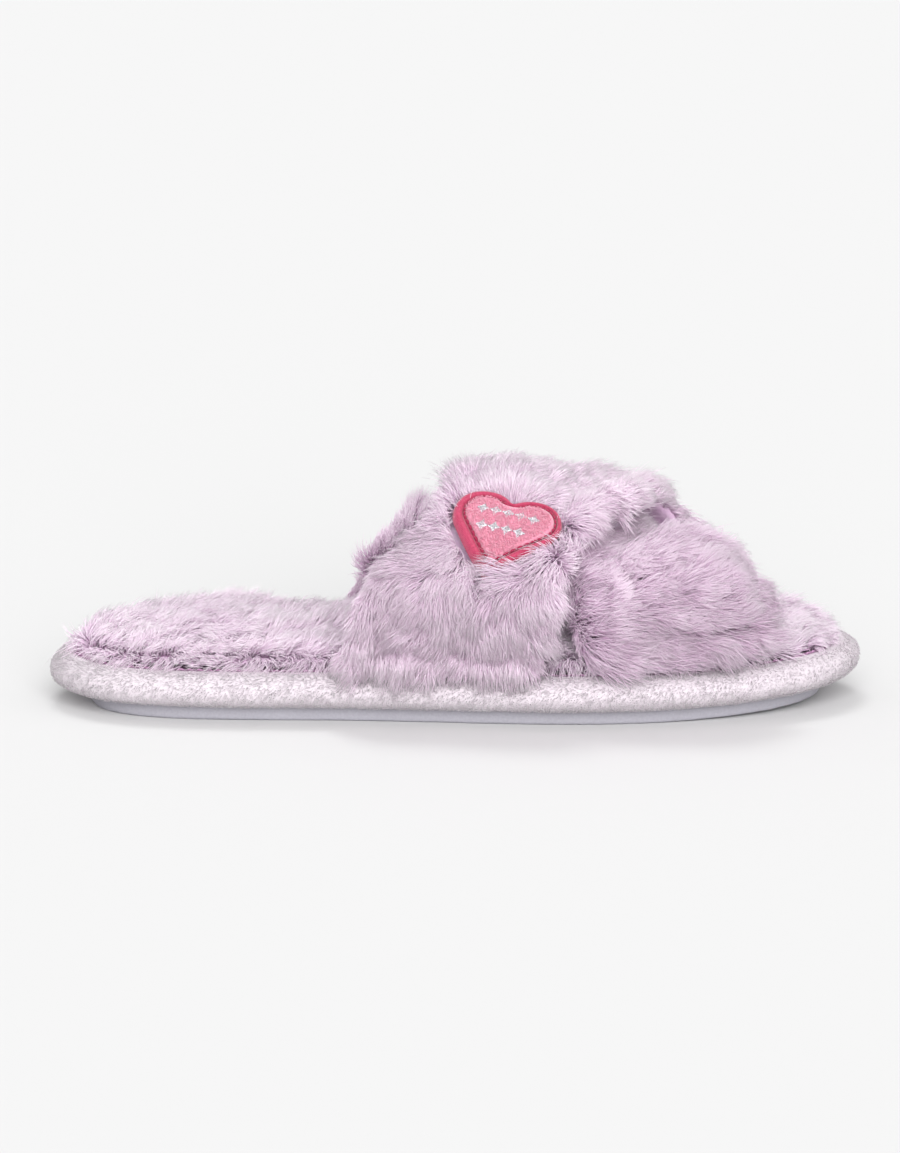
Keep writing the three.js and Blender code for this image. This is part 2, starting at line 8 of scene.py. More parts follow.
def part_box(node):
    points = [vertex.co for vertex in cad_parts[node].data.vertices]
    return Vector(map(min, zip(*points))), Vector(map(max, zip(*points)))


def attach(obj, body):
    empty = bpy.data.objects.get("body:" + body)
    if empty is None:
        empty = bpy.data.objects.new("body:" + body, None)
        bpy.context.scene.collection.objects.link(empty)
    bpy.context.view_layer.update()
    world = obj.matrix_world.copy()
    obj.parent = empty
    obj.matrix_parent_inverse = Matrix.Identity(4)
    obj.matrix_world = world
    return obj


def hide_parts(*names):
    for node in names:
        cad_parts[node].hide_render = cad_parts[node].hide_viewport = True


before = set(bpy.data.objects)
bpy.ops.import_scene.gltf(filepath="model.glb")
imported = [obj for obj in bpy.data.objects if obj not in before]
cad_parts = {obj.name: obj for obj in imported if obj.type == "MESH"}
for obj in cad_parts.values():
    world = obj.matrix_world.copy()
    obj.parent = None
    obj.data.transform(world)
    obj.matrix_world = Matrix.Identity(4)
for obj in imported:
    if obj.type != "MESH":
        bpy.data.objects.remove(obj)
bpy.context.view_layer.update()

# Lengths below are millimetres, as in part.mjs. A mesh is turned to metres when it is made.
MM = 0.001
PI = math.pi


# ---- Small maths ----

def unit(v):
    return v / np.maximum(np.linalg.norm(v, axis=-1, keepdims=True), 1e-9)


def dot(a, b):
    return (a * b).sum(-1)


def step_between(x, low, high):
    t = np.clip((np.asarray(x, float) - low) / (high - low), 0, 1)
    return t * t * (3 - 2 * t)


def mix(a, b, t):
    return a + (b - a) * t


def noise(points, size, seed):
    """Smooth noise from -1 to 1 in blobs of that size."""
    cells = 24
    table = np.random.default_rng(seed).random((cells, cells, cells)) * 2 - 1
    q = np.asarray(points, float) / size + 100
    cell = np.floor(q).astype(int)
    f = q - cell
    f = f * f * (3 - 2 * f)
    total = np.zeros(len(q))
    for i in (0, 1):
        for j in (0, 1):
            for k in (0, 1):
                share = (
                    (f[:, 0] if i else 1 - f[:, 0])
                    * (f[:, 1] if j else 1 - f[:, 1])
                    * (f[:, 2] if k else 1 - f[:, 2])
                )
                spot = (cell + [i, j, k]) % cells
                total += share * table[spot[:, 0], spot[:, 1], spot[:, 2]]
    return total


def turned(v, axis, angle):
    """Vectors v turned about unit axes by angles."""
    c, s = np.cos(angle)[:, None], np.sin(angle)[:, None]
    return v * c + np.cross(axis, v) * s + axis * dot(axis, v)[:, None] * (1 - c)


def flattened(v, normal):
    """The part of v that lies along the surface, as a unit vector."""
    return unit(v - normal * dot(v, normal)[:, None])


# ---- Meshes ----

def make_mesh(name, points, faces, smooth=True):
    """A mesh object from points in millimetres and a list of face arrays, each of shape (count, corners)."""
    mesh = bpy.data.meshes.new(name)
    faces = [np.asarray(f, np.int32) for f in faces if len(f)]
    loops = np.concatenate([f.ravel() for f in faces])
    totals = np.concatenate([np.full(len(f), f.shape[1], np.int32) for f in faces])
    starts = np.concatenate([[0], np.cumsum(totals)[:-1]]).astype(np.int32)
    mesh.vertices.add(len(points))
    mesh.vertices.foreach_set("co", (np.asarray(points) * MM).astype(np.float32).ravel())
    mesh.loops.add(len(loops))
    mesh.loops.foreach_set("vertex_index", loops)
    mesh.polygons.add(len(totals))
    mesh.polygons.foreach_set("loop_start", starts)
    mesh.polygons.foreach_set("loop_total", totals)
    mesh.polygons.foreach_set("use_smooth", np.full(len(totals), smooth))
    mesh.update(calc_edges=True)
    mesh.validate()
    thing = bpy.data.objects.new(name, mesh)
    bpy.context.scene.collection.objects.link(thing)
    return thing


def points_of(thing):
    co = np.zeros(len(thing.data.vertices) * 3, np.float32)
    thing.data.vertices.foreach_get("co", co)
    return co.reshape(-1, 3).astype(float) / MM


def set_points(thing, points):
    thing.data.vertices.foreach_set("co", (np.asarray(points) * MM).astype(np.float32).ravel())
    thing.data.update()


def triangles_of(thing):
    thing.data.calc_loop_triangles()
    tri = np.zeros(len(thing.data.loop_triangles) * 3, np.int32)
    thing.data.loop_triangles.foreach_get("vertices", tri)
    return tri.reshape(-1, 3)


def normals_of(points, triangles, rounds):
    """Vertex normals, evened out over their neighbours."""
    a, b, c = (points[triangles[:, k]] for k in range(3))
    face = np.cross(b - a, c - a)
    out = np.zeros_like(points)
    for k in range(3):
        np.add.at(out, triangles[:, k], face)
    out = unit(out)
    for _ in range(rounds):
        spread = out.copy()
        for i, j in ((0, 1), (1, 2), (2, 0)):
            np.add.at(spread, triangles[:, i], out[triangles[:, j]])
            np.add.at(spread, triangles[:, j], out[triangles[:, i]])
        out = unit(spread)
    return out


def grid_faces(rows, width, closed_rows=False):
    """Four-sided faces between closed rows of points; closed_rows joins the last row to the first."""
    i = np.arange(rows if closed_rows else rows - 1)[:, None]
    k = np.arange(width)[None, :]
    a, b = i * width + k, i * width + (k + 1) % width
    j = (i + 1) % rows
    c, d = j * width + (k + 1) % width, j * width + k
    return np.stack(np.broadcast_arrays(a, d, c, b), -1).reshape(-1, 4)


def apply_modifiers(thing):
    evaluated = thing.evaluated_get(bpy.context.evaluated_depsgraph_get())
    made = bpy.data.meshes.new_from_object(evaluated)
    thing.modifiers.clear()
    old, thing.data = thing.data, made
    bpy.data.meshes.remove(old)


def finish_piece(piece, material, nodes=()):
    """Gives a piece its material, smooth shading and body, and hides the CAD nodes that it stands for."""
    piece.data.materials.clear()
    piece.data.materials.append(material)
    piece.data.polygons.foreach_set("use_smooth", np.full(len(piece.data.polygons), True))
    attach(piece, "root")
    if nodes:
        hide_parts(*nodes)
    return piece


# ---- Materials ----

def linear(*values):
    """A linear colour from three sRGB values of 0 to 255."""
    def channel(c):
        return c / 255 / 12.92 if c <= 10 else ((c / 255 + 0.055) / 1.055) ** 2.4

    return tuple(channel(c) for c in values) + (1,)


def new_material(name, roughness, sheen=0.0, sheen_roughness=0.5, specular=0.3, metallic=0.0):
    material = bpy.data.materials.new(name)
    material.use_nodes = True
    shader = material.node_tree.nodes["Principled BSDF"]
    shader.inputs["Roughness"].default_value = roughness
    shader.inputs["Sheen Weight"].default_value = sheen
    shader.inputs["Sheen Roughness"].default_value = sheen_roughness
    shader.inputs["Specular IOR Level"].default_value = specular
    shader.inputs["Metallic"].default_value = metallic
    return material, material.node_tree.nodes, material.node_tree.links, shader


def ramp(nodes, stops):
    node = nodes.new("ShaderNodeValToRGB")
    elements = node.color_ramp.elements
    while len(elements) > 1:
        elements.remove(elements[-1])
    elements[0].position, elements[0].color = stops[0]
    for position, color in stops[1:]:
        elements.new(position).color = color
    return node


def multiply(nodes, links, first, second):
    node = nodes.new("ShaderNodeMix")
    node.data_type, node.blend_type = "RGBA", "MULTIPLY"
    node.inputs["Factor"].default_value = 1.0
    links.new(first, node.inputs["A"])
    links.new(second, node.inputs["B"])
    return node.outputs["Result"]


def noise_node(nodes, links, scale, detail=3.0, roughness=0.55, stretch=None):
    """Noise in the object's own coordinates; scale is per metre."""
    place = nodes.new("ShaderNodeTexCoord")
    texture = nodes.new("ShaderNodeTexNoise")
    texture.inputs["Scale"].default_value = scale
    texture.inputs["Detail"].default_value = detail
    texture.inputs["Roughness"].default_value = roughness
    source = place.outputs["Object"]
    if stretch:
        mapping = nodes.new("ShaderNodeMapping")
        mapping.inputs["Scale"].default_value = stretch
        links.new(source, mapping.inputs["Vector"])
        source = mapping.outputs["Vector"]
    links.new(source, texture.inputs["Vector"])
    return texture


def bump(nodes, links, shader, heights, distance):
    node = nodes.new("ShaderNodeBump")
    node.inputs["Distance"].default_value = distance * MM
    node.inputs["Strength"].default_value = 0.6
    links.new(heights, node.inputs["Height"])
    links.new(node.outputs["Normal"], shader.inputs["Normal"])


def fur_material(name, root, middle, tip, dark, light, sheen=0.2, specular=0.1):
    """Colour runs along each strand, darker and pinker at the root as painted shade deep in the pile, and its
    tone differs between strands, both by the map in OFBake.
    """
    material, nodes, links, shader = new_material(
        name, 0.8, sheen=sheen, sheen_roughness=0.4, specular=specular)
    shader.inputs["Subsurface Weight"].default_value = 0.5
    shader.inputs["Subsurface Radius"].default_value = (1.0, 0.75, 0.95)
    shader.inputs["Subsurface Scale"].default_value = 0.8 * MM
    place = nodes.new("ShaderNodeUVMap")
    place.uv_map = "OFBake"
    split = nodes.new("ShaderNodeSeparateXYZ")
    links.new(place.outputs["UV"], split.inputs["Vector"])
    # Painted shade: the darker root colour stands for the shade deep in the pile.
    along = ramp(nodes, [(0.0, root), (0.5, middle), (0.95, tip)])
    links.new(split.outputs["Y"], along.inputs["Fac"])
    tone = ramp(nodes, [(0.05, dark), (0.95, light)])
    links.new(split.outputs["X"], tone.inputs["Fac"])
    both = multiply(nodes, links, along.outputs["Color"], tone.outputs["Color"])
    links.new(both, shader.inputs["Base Color"])
    return material


def cloth_material(name, low, high, scale, roughness=0.9, sheen=0.3, depth=0.3, stretch=None):
    material, nodes, links, shader = new_material(name, roughness, sheen=sheen, specular=0.2)
    texture = noise_node(nodes, links, scale, 5.0, 0.6, stretch)
    colour = ramp(nodes, [(0.3, low), (0.7, high)])
    links.new(texture.outputs["Fac"], colour.inputs["Fac"])
    links.new(colour.outputs["Color"], shader.inputs["Base Color"])
    bump(nodes, links, shader, texture.outputs["Fac"], depth)
    return material


STRAP_FUR = fur_material(
    "strap_fur_strands", linear(222, 178, 215), linear(244, 216, 239), linear(252, 232, 247),
    linear(226, 212, 224), linear(255, 255, 255))
FOOTBED_FUR = fur_material(
    "footbed_fur_strands", linear(222, 184, 216), linear(246, 223, 242), linear(254, 239, 250),
    linear(234, 222, 233), linear(255, 255, 255))
PLUSH = fur_material(
    "wrap_plush_strands", linear(197, 188, 195), linear(201, 192, 198), linear(204, 195, 201),
    linear(248, 245, 248), linear(255, 255, 255), sheen=0.0, specular=0.03)
# Painted shade: the pile's backing is a darker lilac than the strands, standing for the shade deep in the
# pile.
SHADED_UNDERCOAT = cloth_material(
    "fur_undercoat_painted_shade", linear(214, 178, 210), linear(234, 206, 230), 380, depth=0.6)
WRAP_CLOTH = cloth_material(
    "wrap_plush_backing", linear(197, 188, 195), linear(203, 194, 200), 700, sheen=0.1, depth=0.5,
    stretch=(1.0, 1.0, 0.5))
LINING = cloth_material(
    "lining_cloth", linear(200, 180, 200), linear(224, 206, 222), 900, sheen=0.4, depth=0.6,
    stretch=(1.0, 1.0, 0.35))
FOAM = cloth_material(
    "white_foam", linear(228, 222, 216), linear(244, 240, 236), 2400, sheen=0.0, depth=0.2)
BOARD = cloth_material(
    "insole_fibreboard", linear(160, 132, 154), linear(184, 156, 178), 700, roughness=0.95, sheen=0.0,
    depth=0.1, stretch=(1.0, 6.0, 1.0))
# Painted shade: the outsole's grey rubber is darkened for the shade under the wrap's overhang.
SHADED_RUBBER = cloth_material(
    "outsole_rubber", linear(150, 148, 156), linear(162, 160, 168), 1600, roughness=0.55, sheen=0.0,
    depth=0.12)
SEAM_THREAD = cloth_material(
    "seam_thread", linear(164, 124, 156), linear(188, 148, 180), 5000, roughness=0.7, sheen=0.1, depth=0.1)
SATIN = cloth_material(
    "crimson_satin_thread", linear(150, 40, 72), linear(182, 62, 96), 1400, roughness=0.42, sheen=0.35,
    depth=0.08)
DARK_THREAD = cloth_material(
    "dark_crimson_thread", linear(130, 24, 58), linear(170, 40, 80), 4000, roughness=0.5, sheen=0.2,
    depth=0.08)
FELT = cloth_material(
    "pink_felt", linear(202, 122, 146), linear(214, 148, 168), 1100, roughness=0.85, sheen=0.4, depth=0.2)
FELT_FUZZ = fur_material(
    "pink_felt_fuzz", linear(222, 112, 146), linear(236, 138, 166), linear(246, 168, 190),
    linear(230, 220, 226), linear(255, 255, 255))


def silver_material():
    material, nodes, links, shader = new_material("silver_thread", 0.28, specular=0.6, metallic=0.75)
    texture = noise_node(nodes, links, 2600, 2.0)
    colour = ramp(nodes, [(0.35, linear(150, 150, 158)), (0.65, linear(236, 236, 240))])
    links.new(texture.outputs["Fac"], colour.inputs["Fac"])
    links.new(colour.outputs["Color"], shader.inputs["Base Color"])
    return material


SILVER = silver_material()


# ---- Sole outline, as in part.mjs ----

LENGTH, FOREFOOT_WIDTH, HEEL_WIDTH, ARCH_DEPTH = 250, 96, 80, 4
HEEL_SQUARENESS, TOE_SQUARENESS, TOE_SWING = 5.8, 3.5, 5
SPRING_LENGTH, SPRING_RISE = 75, 3
TOE = LENGTH / 2


def centre_line(x):
    return TOE_SWING * step_between(x, 0, TOE)


def half_width(x, side):
    along = x / LENGTH
    straight = mix(HEEL_WIDTH, FOREFOOT_WIDTH, step_between(along, -0.2, 0.24)) / 2
    arch = np.where(side > 0, ARCH_DEPTH * np.exp(-(((along + 0.06) / 0.13) ** 2)), 0)
    squareness = np.where(x < 0, HEEL_SQUARENESS, TOE_SQUARENESS)
    return (straight - arch) * np.sqrt(np.maximum(0, 1 - np.abs(x / TOE) ** squareness))


def lift(x):
    return SPRING_RISE * np.maximum(0, (x - TOE + SPRING_LENGTH) / SPRING_LENGTH) ** 2


def rim_point(turn):
    side = np.where(np.sin(turn) > 0, -1.0, 1.0)
    x = -TOE * np.cos(turn)
    return np.stack([x, centre_line(x) + side * half_width(x, side)], -1)


def rim_normal(turn):
    along = unit(rim_point(turn + 1e-3) - rim_point(turn - 1e-3))
    return np.stack([along[:, 1], -along[:, 0]], -1)


def even_rim(count):
    """Turns at equal steps around the rim, with the outward normals eased a little."""
    fine = np.linspace(0, 2 * PI, 8001)
    path = np.concatenate([[0], np.cumsum(np.linalg.norm(np.diff(rim_point(fine), axis=0), axis=1))])
    turns = np.interp(np.arange(count) / count * path[-1], path, fine)
    normals = rim_normal(turns)
    for _ in range(6):
        normals = unit(normals + 0.5 * (np.roll(normals, 1, 0) + np.roll(normals, -1, 0)))
    return rim_point(turns), normals


_wrap_low, _wrap_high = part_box("side_wrap")
_check = rim_point(np.linspace(0, 2 * PI, 4001))
SHIFT_Y = (_wrap_low.y + _wrap_high.y) / 2 / MM - (_check[:, 1].min() + _check[:, 1].max()) / 2
WRAP_BOTTOM = _wrap_low.z / MM
WRAP_HEIGHT, WRAP_BULGE = 10.7, 7.0
CLEARANCE = 0.3
OUTSOLE_TOP = WRAP_BOTTOM - CLEARANCE
SPINE_SHARE = 0.8  # the spine's length, as a share of the sole's


def sole_loops(profile, count):
    """Rows around the sole: each of the profile's places is (inset, height, share towards the spine)."""
    rim, normal = even_rim(count)
    rows = []
    for inset, height, inward in profile:
        inset = inset(normal) if callable(inset) else np.full(count, float(inset))
        place = rim - normal * inset[:, None]
        spine_x = SPINE_SHARE * rim[:, 0]
        spine = np.stack([spine_x, centre_line(spine_x)], -1)
        place = mix(place, spine, inward)
        rows.append(np.stack([place[:, 0], place[:, 1] + SHIFT_Y, height + lift(place[:, 0])], -1))
    return np.array(rows), normal


# ---- Padded bodies ----

def cad_shell(name, nodes, voxel):
    """One closed mesh around several CAD nodes."""
    points, faces, base = [], [], 0
    for node in nodes:
        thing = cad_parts[node]
        points.append(points_of(thing))
        faces.append(triangles_of(thing) + base)
        base += len(points[-1])
    shell = make_mesh(name, np.concatenate(points), [np.concatenate(faces)])
    weld = shell.modifiers.new("weld", "WELD")
    weld.merge_threshold = 1e-5
    if voxel:
        remesh = shell.modifiers.new("remesh", "REMESH")
        remesh.mode, remesh.voxel_size = "VOXEL", voxel * MM
    apply_modifiers(shell)
    return shell


PRESSURE = 4.0
MOST_MOVE = 3.0
CLOTH_FRAMES = 20


def inflate(body, free):
    """Cloth under pressure, where no point moves further than MOST_MOVE.
    free(points, normals) is the share of the move that a point keeps: 0 where the body is glued down."""
    start = points_of(body)
    held = free(start, normals_of(start, triangles_of(body), 1))[:, None]
    scene = bpy.context.scene
    cloth = body.modifiers.new("cloth", "CLOTH")
    settings = cloth.settings
    settings.use_pressure = True
    settings.uniform_pressure_force = PRESSURE
    settings.effector_weights.gravity = 0
    settings.quality = 4
    settings.tension_stiffness = settings.compression_stiffness = 12
    settings.bending_stiffness = 2
    cloth.point_cache.frame_start, cloth.point_cache.frame_end = 1, CLOTH_FRAMES
    for number in range(1, CLOTH_FRAMES + 1):
        scene.frame_set(number)
    apply_modifiers(body)
    scene.frame_set(1)
    moved = points_of(body) - start
    length = np.linalg.norm(moved, axis=1, keepdims=True)
    set_points(body, start + held * moved * np.minimum(1, MOST_MOVE / np.maximum(length, 1e-6)))
    subdivide = body.modifiers.new("subdivide", "SUBSURF")
    subdivide.levels = subdivide.render_levels = 1
    apply_modifiers(body)


def shrink(body, amount):
    """Moves each point in along its normal by amount(points, normals)."""
    points, triangles = points_of(body), triangles_of(body)
    normals = normals_of(points, triangles, 1)
    set_points(body, points - normals * amount(points, normals)[:, None])


def smooth_out(body, rounds, share):
    """Evens a body out where share(points) is above 0."""
    points, triangles = points_of(body), triangles_of(body)
    pairs = np.concatenate([triangles[:, [0, 1]], triangles[:, [1, 2]], triangles[:, [2, 0]]])
    pairs = np.concatenate([pairs, pairs[:, ::-1]])
    count = np.bincount(pairs[:, 0], minlength=len(points))[:, None]
    amount = 0.5 * share(points)[:, None]
    for _ in range(rounds):
        sums = [np.bincount(pairs[:, 0], points[pairs[:, 1], k], len(points)) for k in range(3)]
        points = mix(points, np.stack(sums, -1) / count, amount)
    set_points(body, points)


ARCH_AXIS_HEIGHT = 12.0


def arch_radial(points):
    """Direction away from the axis of the straps' arch."""
    out = points - np.array([0, 0, ARCH_AXIS_HEIGHT])
    out[:, 0] = 0
    return unit(out)


# ---- Fur ----

def scatter(body, count, seed, allowed):
    """Roots spread evenly over the allowed part of a body's surface, with smooth normals."""
    rng = np.random.default_rng(seed)
    points, triangles = points_of(body), triangles_of(body)
    normals = normals_of(points, triangles, 3)
    a, b, c = (points[triangles[:, k]] for k in range(3))
    area = np.linalg.norm(np.cross(b - a, c - a), axis=1) / 2
    centre, facing = (a + b + c) / 3, unit(normals[triangles].sum(1))
    area = area * allowed(centre, facing)
    pick = rng.choice(len(area), count, p=area / area.sum())
    u, v = rng.random(count), rng.random(count)
    flip = u + v > 1
    u[flip], v[flip] = 1 - u[flip], 1 - v[flip]
    w = 1 - u - v
    corners = triangles[pick]
    weights = np.stack([w, u, v], -1)[:, :, None]
    return (points[corners] * weights).sum(1), unit((normals[corners] * weights).sum(1)), area.sum()


def strand_paths(roots, normals, flow, length, lean, droop):
    """Four points along each strand, which starts near the normal and bends over along the flow."""
    paths = [roots]
    for share, part in ((0.45, 0.3), (0.95, 0.35), (1.3, 0.35)):
        angle = np.minimum(lean * share, 1.5)[:, None]
        heading = normals * np.cos(angle) + flow * np.sin(angle)
        heading = unit(heading + droop * share * np.array([0, 0, -1.0]))
        paths.append(paths[-1] + heading * (length * part)[:, None])
    return np.stack(paths, 1)


def limited(tone):
    return np.clip(tone, 0.03, 0.97)


def grow(body, count, seed, allowed, flow_at, length_at, lean, clump_area, pull, droop, swirl,
         ruffle=0.5):
    """Fur in clumps: returns the strands' paths (count, 4, 3), their normals and a tone from 0 to 1."""
    rng = np.random.default_rng(seed + 1)
    roots, normals, area = scatter(body, count, seed, allowed)
    clumps = max(int(area / clump_area), 8)
    seeds, seed_normals, _ = scatter(body, clumps, seed + 2, allowed)
    tree = KDTree(clumps)
    for k, place in enumerate(seeds):
        tree.insert(place, k)
    tree.balance()
    jitter = roots + rng.normal(0, math.sqrt(clump_area) * 0.12, roots.shape)
    owner = np.array([tree.find(p)[1] for p in jitter])

    clump_turn = rng.normal(0, 0.24, clumps)
    clump_lean = rng.normal(0, 0.16, clumps)
    clump_length = 1 + rng.normal(0, 0.12, clumps)
    clump_tone = rng.random(clumps)

    def paths_for(places, around, owners, loose):
        n = len(places)
        flow = flattened(flow_at(places, around), around)
        turn = swirl * (0.9 * noise(places, 24, seed + 3) + 0.8 * noise(places, 9, seed + 4))
        turn = turn + clump_turn[owners] * swirl * 1.6 + loose * rng.normal(0, 0.28, n)
        flow = turned(flow, around, turn)
        angle = lean(places, around) if callable(lean) else lean
        angle = angle + ruffle * (0.35 * noise(places, 14, seed + 5) + clump_lean[owners])
        angle = angle + loose * rng.normal(0, 0.14, n)
        size = length_at(places, around) * clump_length[owners] * (1 + loose * rng.normal(0, 0.11, n))
        size = size * (1 + 0.14 * noise(places, 11, seed + 6))
        return strand_paths(places, around, flow, size, np.clip(angle, 0.1, 1.35), droop)

    paths = paths_for(roots, normals, owner, 1.0)
    middle = paths_for(seeds, seed_normals, np.arange(clumps), 0.0)[owner]
    spread = (roots - seeds[owner])[:, None, :]
    hold = pull * np.clip(rng.normal(0.8, 0.3, count), 0, 1.15)
    hold[rng.random(count) < 0.15] = 0
    hold = hold[:, None, None]
    amount = np.array([0, 0.25, 0.62, 1.0])[None, :, None] * hold
    paths = mix(paths, middle + spread * 0.35, amount)
    tone = 0.5 + 0.3 * (clump_tone[owner] - 0.5) + 0.22 * noise(roots, 16, seed + 7)
    return paths, normals, limited(tone + rng.normal(0, 0.09, count))


TAPER = (1.0, 0.9, 0.6)
LONG_STRAND_WIDTH, SHORT_STRAND_WIDTH = 0.29, 0.15


def strand_mesh(name, paths, normals, tone, width):
    """Closed three-sided strands with a pointed tip, with their map in the layer OFBake."""
    n, rings = len(paths), paths.shape[1] - 1
    headings = unit(np.concatenate([paths[:, 1:2] - paths[:, 0:1], paths[:, 2:] - paths[:, :-2]], 1))
    side = unit(np.cross(headings, normals[:, None, :] + 1e-4))
    other = np.cross(headings, side)
    verts = np.zeros((n, rings * 3 + 1, 3))
    for ring in range(rings):
        radius = width * TAPER[ring] / 2
        for corner in range(3):
            angle = 2 * PI * corner / 3
            verts[:, ring * 3 + corner] = paths[:, ring] + radius * (
                math.cos(angle) * side[:, ring] + math.sin(angle) * other[:, ring])
    verts[:, -1] = paths[:, -1]
    base = (np.arange(n) * (rings * 3 + 1))[:, None]
    quads = []
    for ring in range(rings - 1):
        for corner in range(3):
            nxt = (corner + 1) % 3
            quads.append([ring * 3 + corner, ring * 3 + nxt, (ring + 1) * 3 + nxt, (ring + 1) * 3 + corner])
    tris = [[2, 1, 0]]
    last = (rings - 1) * 3
    for corner in range(3):
        tris.append([last + corner, last + (corner + 1) % 3, rings * 3])
    quads, tris = np.array(quads), np.array(tris)
    quad_faces = (base[:, :, None] + quads[None]).reshape(-1, 4)
    tri_faces = (base[:, :, None] + tris[None]).reshape(-1, 3)
    piece = make_mesh(name, verts.reshape(-1, 3), [quad_faces, tri_faces])

    v_of = np.zeros(rings * 3 + 1)
    u_of = np.zeros(rings * 3 + 1)
    for ring in range(rings):
        v_of[ring * 3:ring * 3 + 3] = 0.03 + 0.97 * ring / rings
        u_of[ring * 3:ring * 3 + 3] = (-0.006, 0.0, 0.006)
        v_of[ring * 3 + 1] += 0.02
    v_of[-1] = 0.97
    u = np.clip(tone[:, None], 0.02, 0.98) + u_of[None]
    v = np.broadcast_to(v_of[None], (n, rings * 3 + 1))
    table = np.stack([u, v], -1).reshape(-1, 2)
    order = np.concatenate([quad_faces.ravel(), tri_faces.ravel()])
    layer = piece.data.uv_layers.new(name="OFBake")
    layer.data.foreach_set("uv", table[order].astype(np.float32).ravel())
    return piece


FACES_PER_PIECE = 190000


def fur_pieces(name, paths, normals, tone, width, material, nodes):
    """Splits the strands along the slipper into pieces of a size that the export takes whole."""
    order = np.argsort(paths[:, 0, 0], kind="stable")
    faces = len(order) * (6 * (paths.shape[1] - 1) - 2)
    parts = np.array_split(order, max(1, math.ceil(faces / FACES_PER_PIECE)))
    for k, part in enumerate(parts):
        piece = strand_mesh(f"{name}_{k + 1}", paths[part], normals[part], tone[part], width)
        finish_piece(piece, material, nodes)


# ---- Heart patch frame ----

def centre_of(node):
    low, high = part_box(node)
    return np.array((low + high) / 2) / MM


STAR_ROWS_APART, LOWER_ROW_DROP = 5.6, 2.4
_upper = np.mean([centre_of(f"patch_star_upper_{k}") for k in range(1, 6)], 0)
_lower = np.mean([centre_of(f"patch_star_lower_{k}") for k in range(1, 5)], 0)
PATCH_X = unit(centre_of("patch_star_upper_5") - centre_of("patch_star_upper_1"))
PATCH_Y = _upper - _lower
PATCH_Y = unit(PATCH_Y - PATCH_X * dot(PATCH_Y, PATCH_X))
PATCH_Z = np.cross(PATCH_X, PATCH_Y)
PATCH_AT = mix(_lower, _upper, LOWER_ROW_DROP / STAR_ROWS_APART)
PATCH_AXES = np.stack([PATCH_X, PATCH_Y, PATCH_Z])


def to_patch(points):
    return (points - PATCH_AT) @ PATCH_AXES.T


def from_patch(local):
    return PATCH_AT + local @ PATCH_AXES


def curve_terms(a, b):
    return np.stack([np.ones_like(a), a, b, a * a, a * b, b * b, a * a * b, a * b * b], -1)


def fitted_top(node):
    """A smooth height over the patch's plane, fitted to the upper face of a CAD node."""
    local = to_patch(points_of(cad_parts[node]))
    terms = curve_terms(local[:, 0], local[:, 1])
    keep = np.ones(len(local), bool)
    for _ in range(3):
        fit = np.linalg.lstsq(terms[keep], local[keep, 2], rcond=None)[0]
        keep = local[:, 2] >= terms @ fit - 0.05
    return fit


BACKING_TOP = fitted_top("patch_backing")


def patch_place(a, b, height):
    """A point of the patch, with its height over the backing's upper face."""
    a, b = np.asarray(a, float), np.asarray(b, float)
    base = curve_terms(a.ravel(), b.ravel()) @ BACKING_TOP
    local = np.stack([a.ravel(), b.ravel(), base + np.broadcast_to(height, a.shape).ravel()], -1)
    return from_patch(local).reshape(a.shape + (3,))


HEART_WIDTH, HEART_CLEFT = 34.0, 4.1
LOBE = HEART_WIDTH / 2 + HEART_CLEFT - math.sqrt(HEART_WIDTH * HEART_CLEFT)
SPACING = HEART_WIDTH / 2 - LOBE


def heart_outline(count):
    """A plump heart with a soft cleft and a rounded tip, evenly spaced, anticlockwise from the cleft."""
    start = math.acos(-SPACING / LOBE)
    turns = np.linspace(start, -PI / 4, 60)
    right = np.stack([SPACING + LOBE * np.cos(turns), LOBE * np.sin(turns)], -1)
    tip = np.array([0, -(SPACING * math.cos(PI / 4) + LOBE) / math.sin(PI / 4)])
    side = right[-1] + (tip - right[-1]) * np.linspace(0, 1, 40)[1:, None]
    belly = np.sin(np.linspace(0, PI, 40))[1:, None] * np.array([[0.35, -0.35]])
    right = np.concatenate([right, side + belly])
    loop = np.concatenate([right, (right[1:-1] * [-1, 1])[::-1]])
    closed = np.vstack([loop, loop[:1]])
    path = np.concatenate([[0], np.cumsum(np.linalg.norm(np.diff(closed, axis=0), axis=1))])
    at = np.arange(count) / count * path[-1]
    out = np.stack([np.interp(at, path, closed[:, k]) for k in range(2)], -1)
    for _ in range(int(count / 40)):
        out = 0.5 * out + 0.25 * (np.roll(out, 1, 0) + np.roll(out, -1, 0))
    return out, path[-1]


def heart_inset(outline, inset):
    along = unit(np.roll(outline, -1, 0) - np.roll(outline, 1, 0))
    inward = np.stack([along[:, 1], -along[:, 0]], -1)
    for _ in range(8):
        inward = unit(inward + 0.5 * (np.roll(inward, 1, 0) + np.roll(inward, -1, 0)))
    moved = outline + inward * inset
    for _ in range(8 + int(100 * np.mean(inset)) * (len(outline) > 500)):
        moved = 0.5 * moved + 0.25 * (np.roll(moved, 1, 0) + np.roll(moved, -1, 0))
    return moved


HEART, _ = heart_outline(240)
HEART_MIDDLE = np.array([0, -2.0])


def inside_heart(a, b, margin):
    """How far inside the outline a place is, in millimetres, negative outside."""
    tree = KDTree(len(HEART))
    for k, p in enumerate(HEART):
        tree.insert((p[0], p[1], 0), k)
    tree.balance()
    out = np.full(len(a), -99.0)
    near = np.hypot(a, b + 2) < 40
    for k in np.flatnonzero(near):
        _, index, distance = tree.find((a[k], b[k], 0))
        p = HEART[index]
        q = HEART[(index + 1) % len(HEART)]
        o = HEART[index - 1]
        edge = q - o
        inward = np.array([edge[1], -edge[0]])
        sign = 1 if (np.array([a[k], b[k]]) - p) @ inward > 0 else -1
        out[k] = sign * distance
    return out + margin


# ---- Camera, light and floor ----

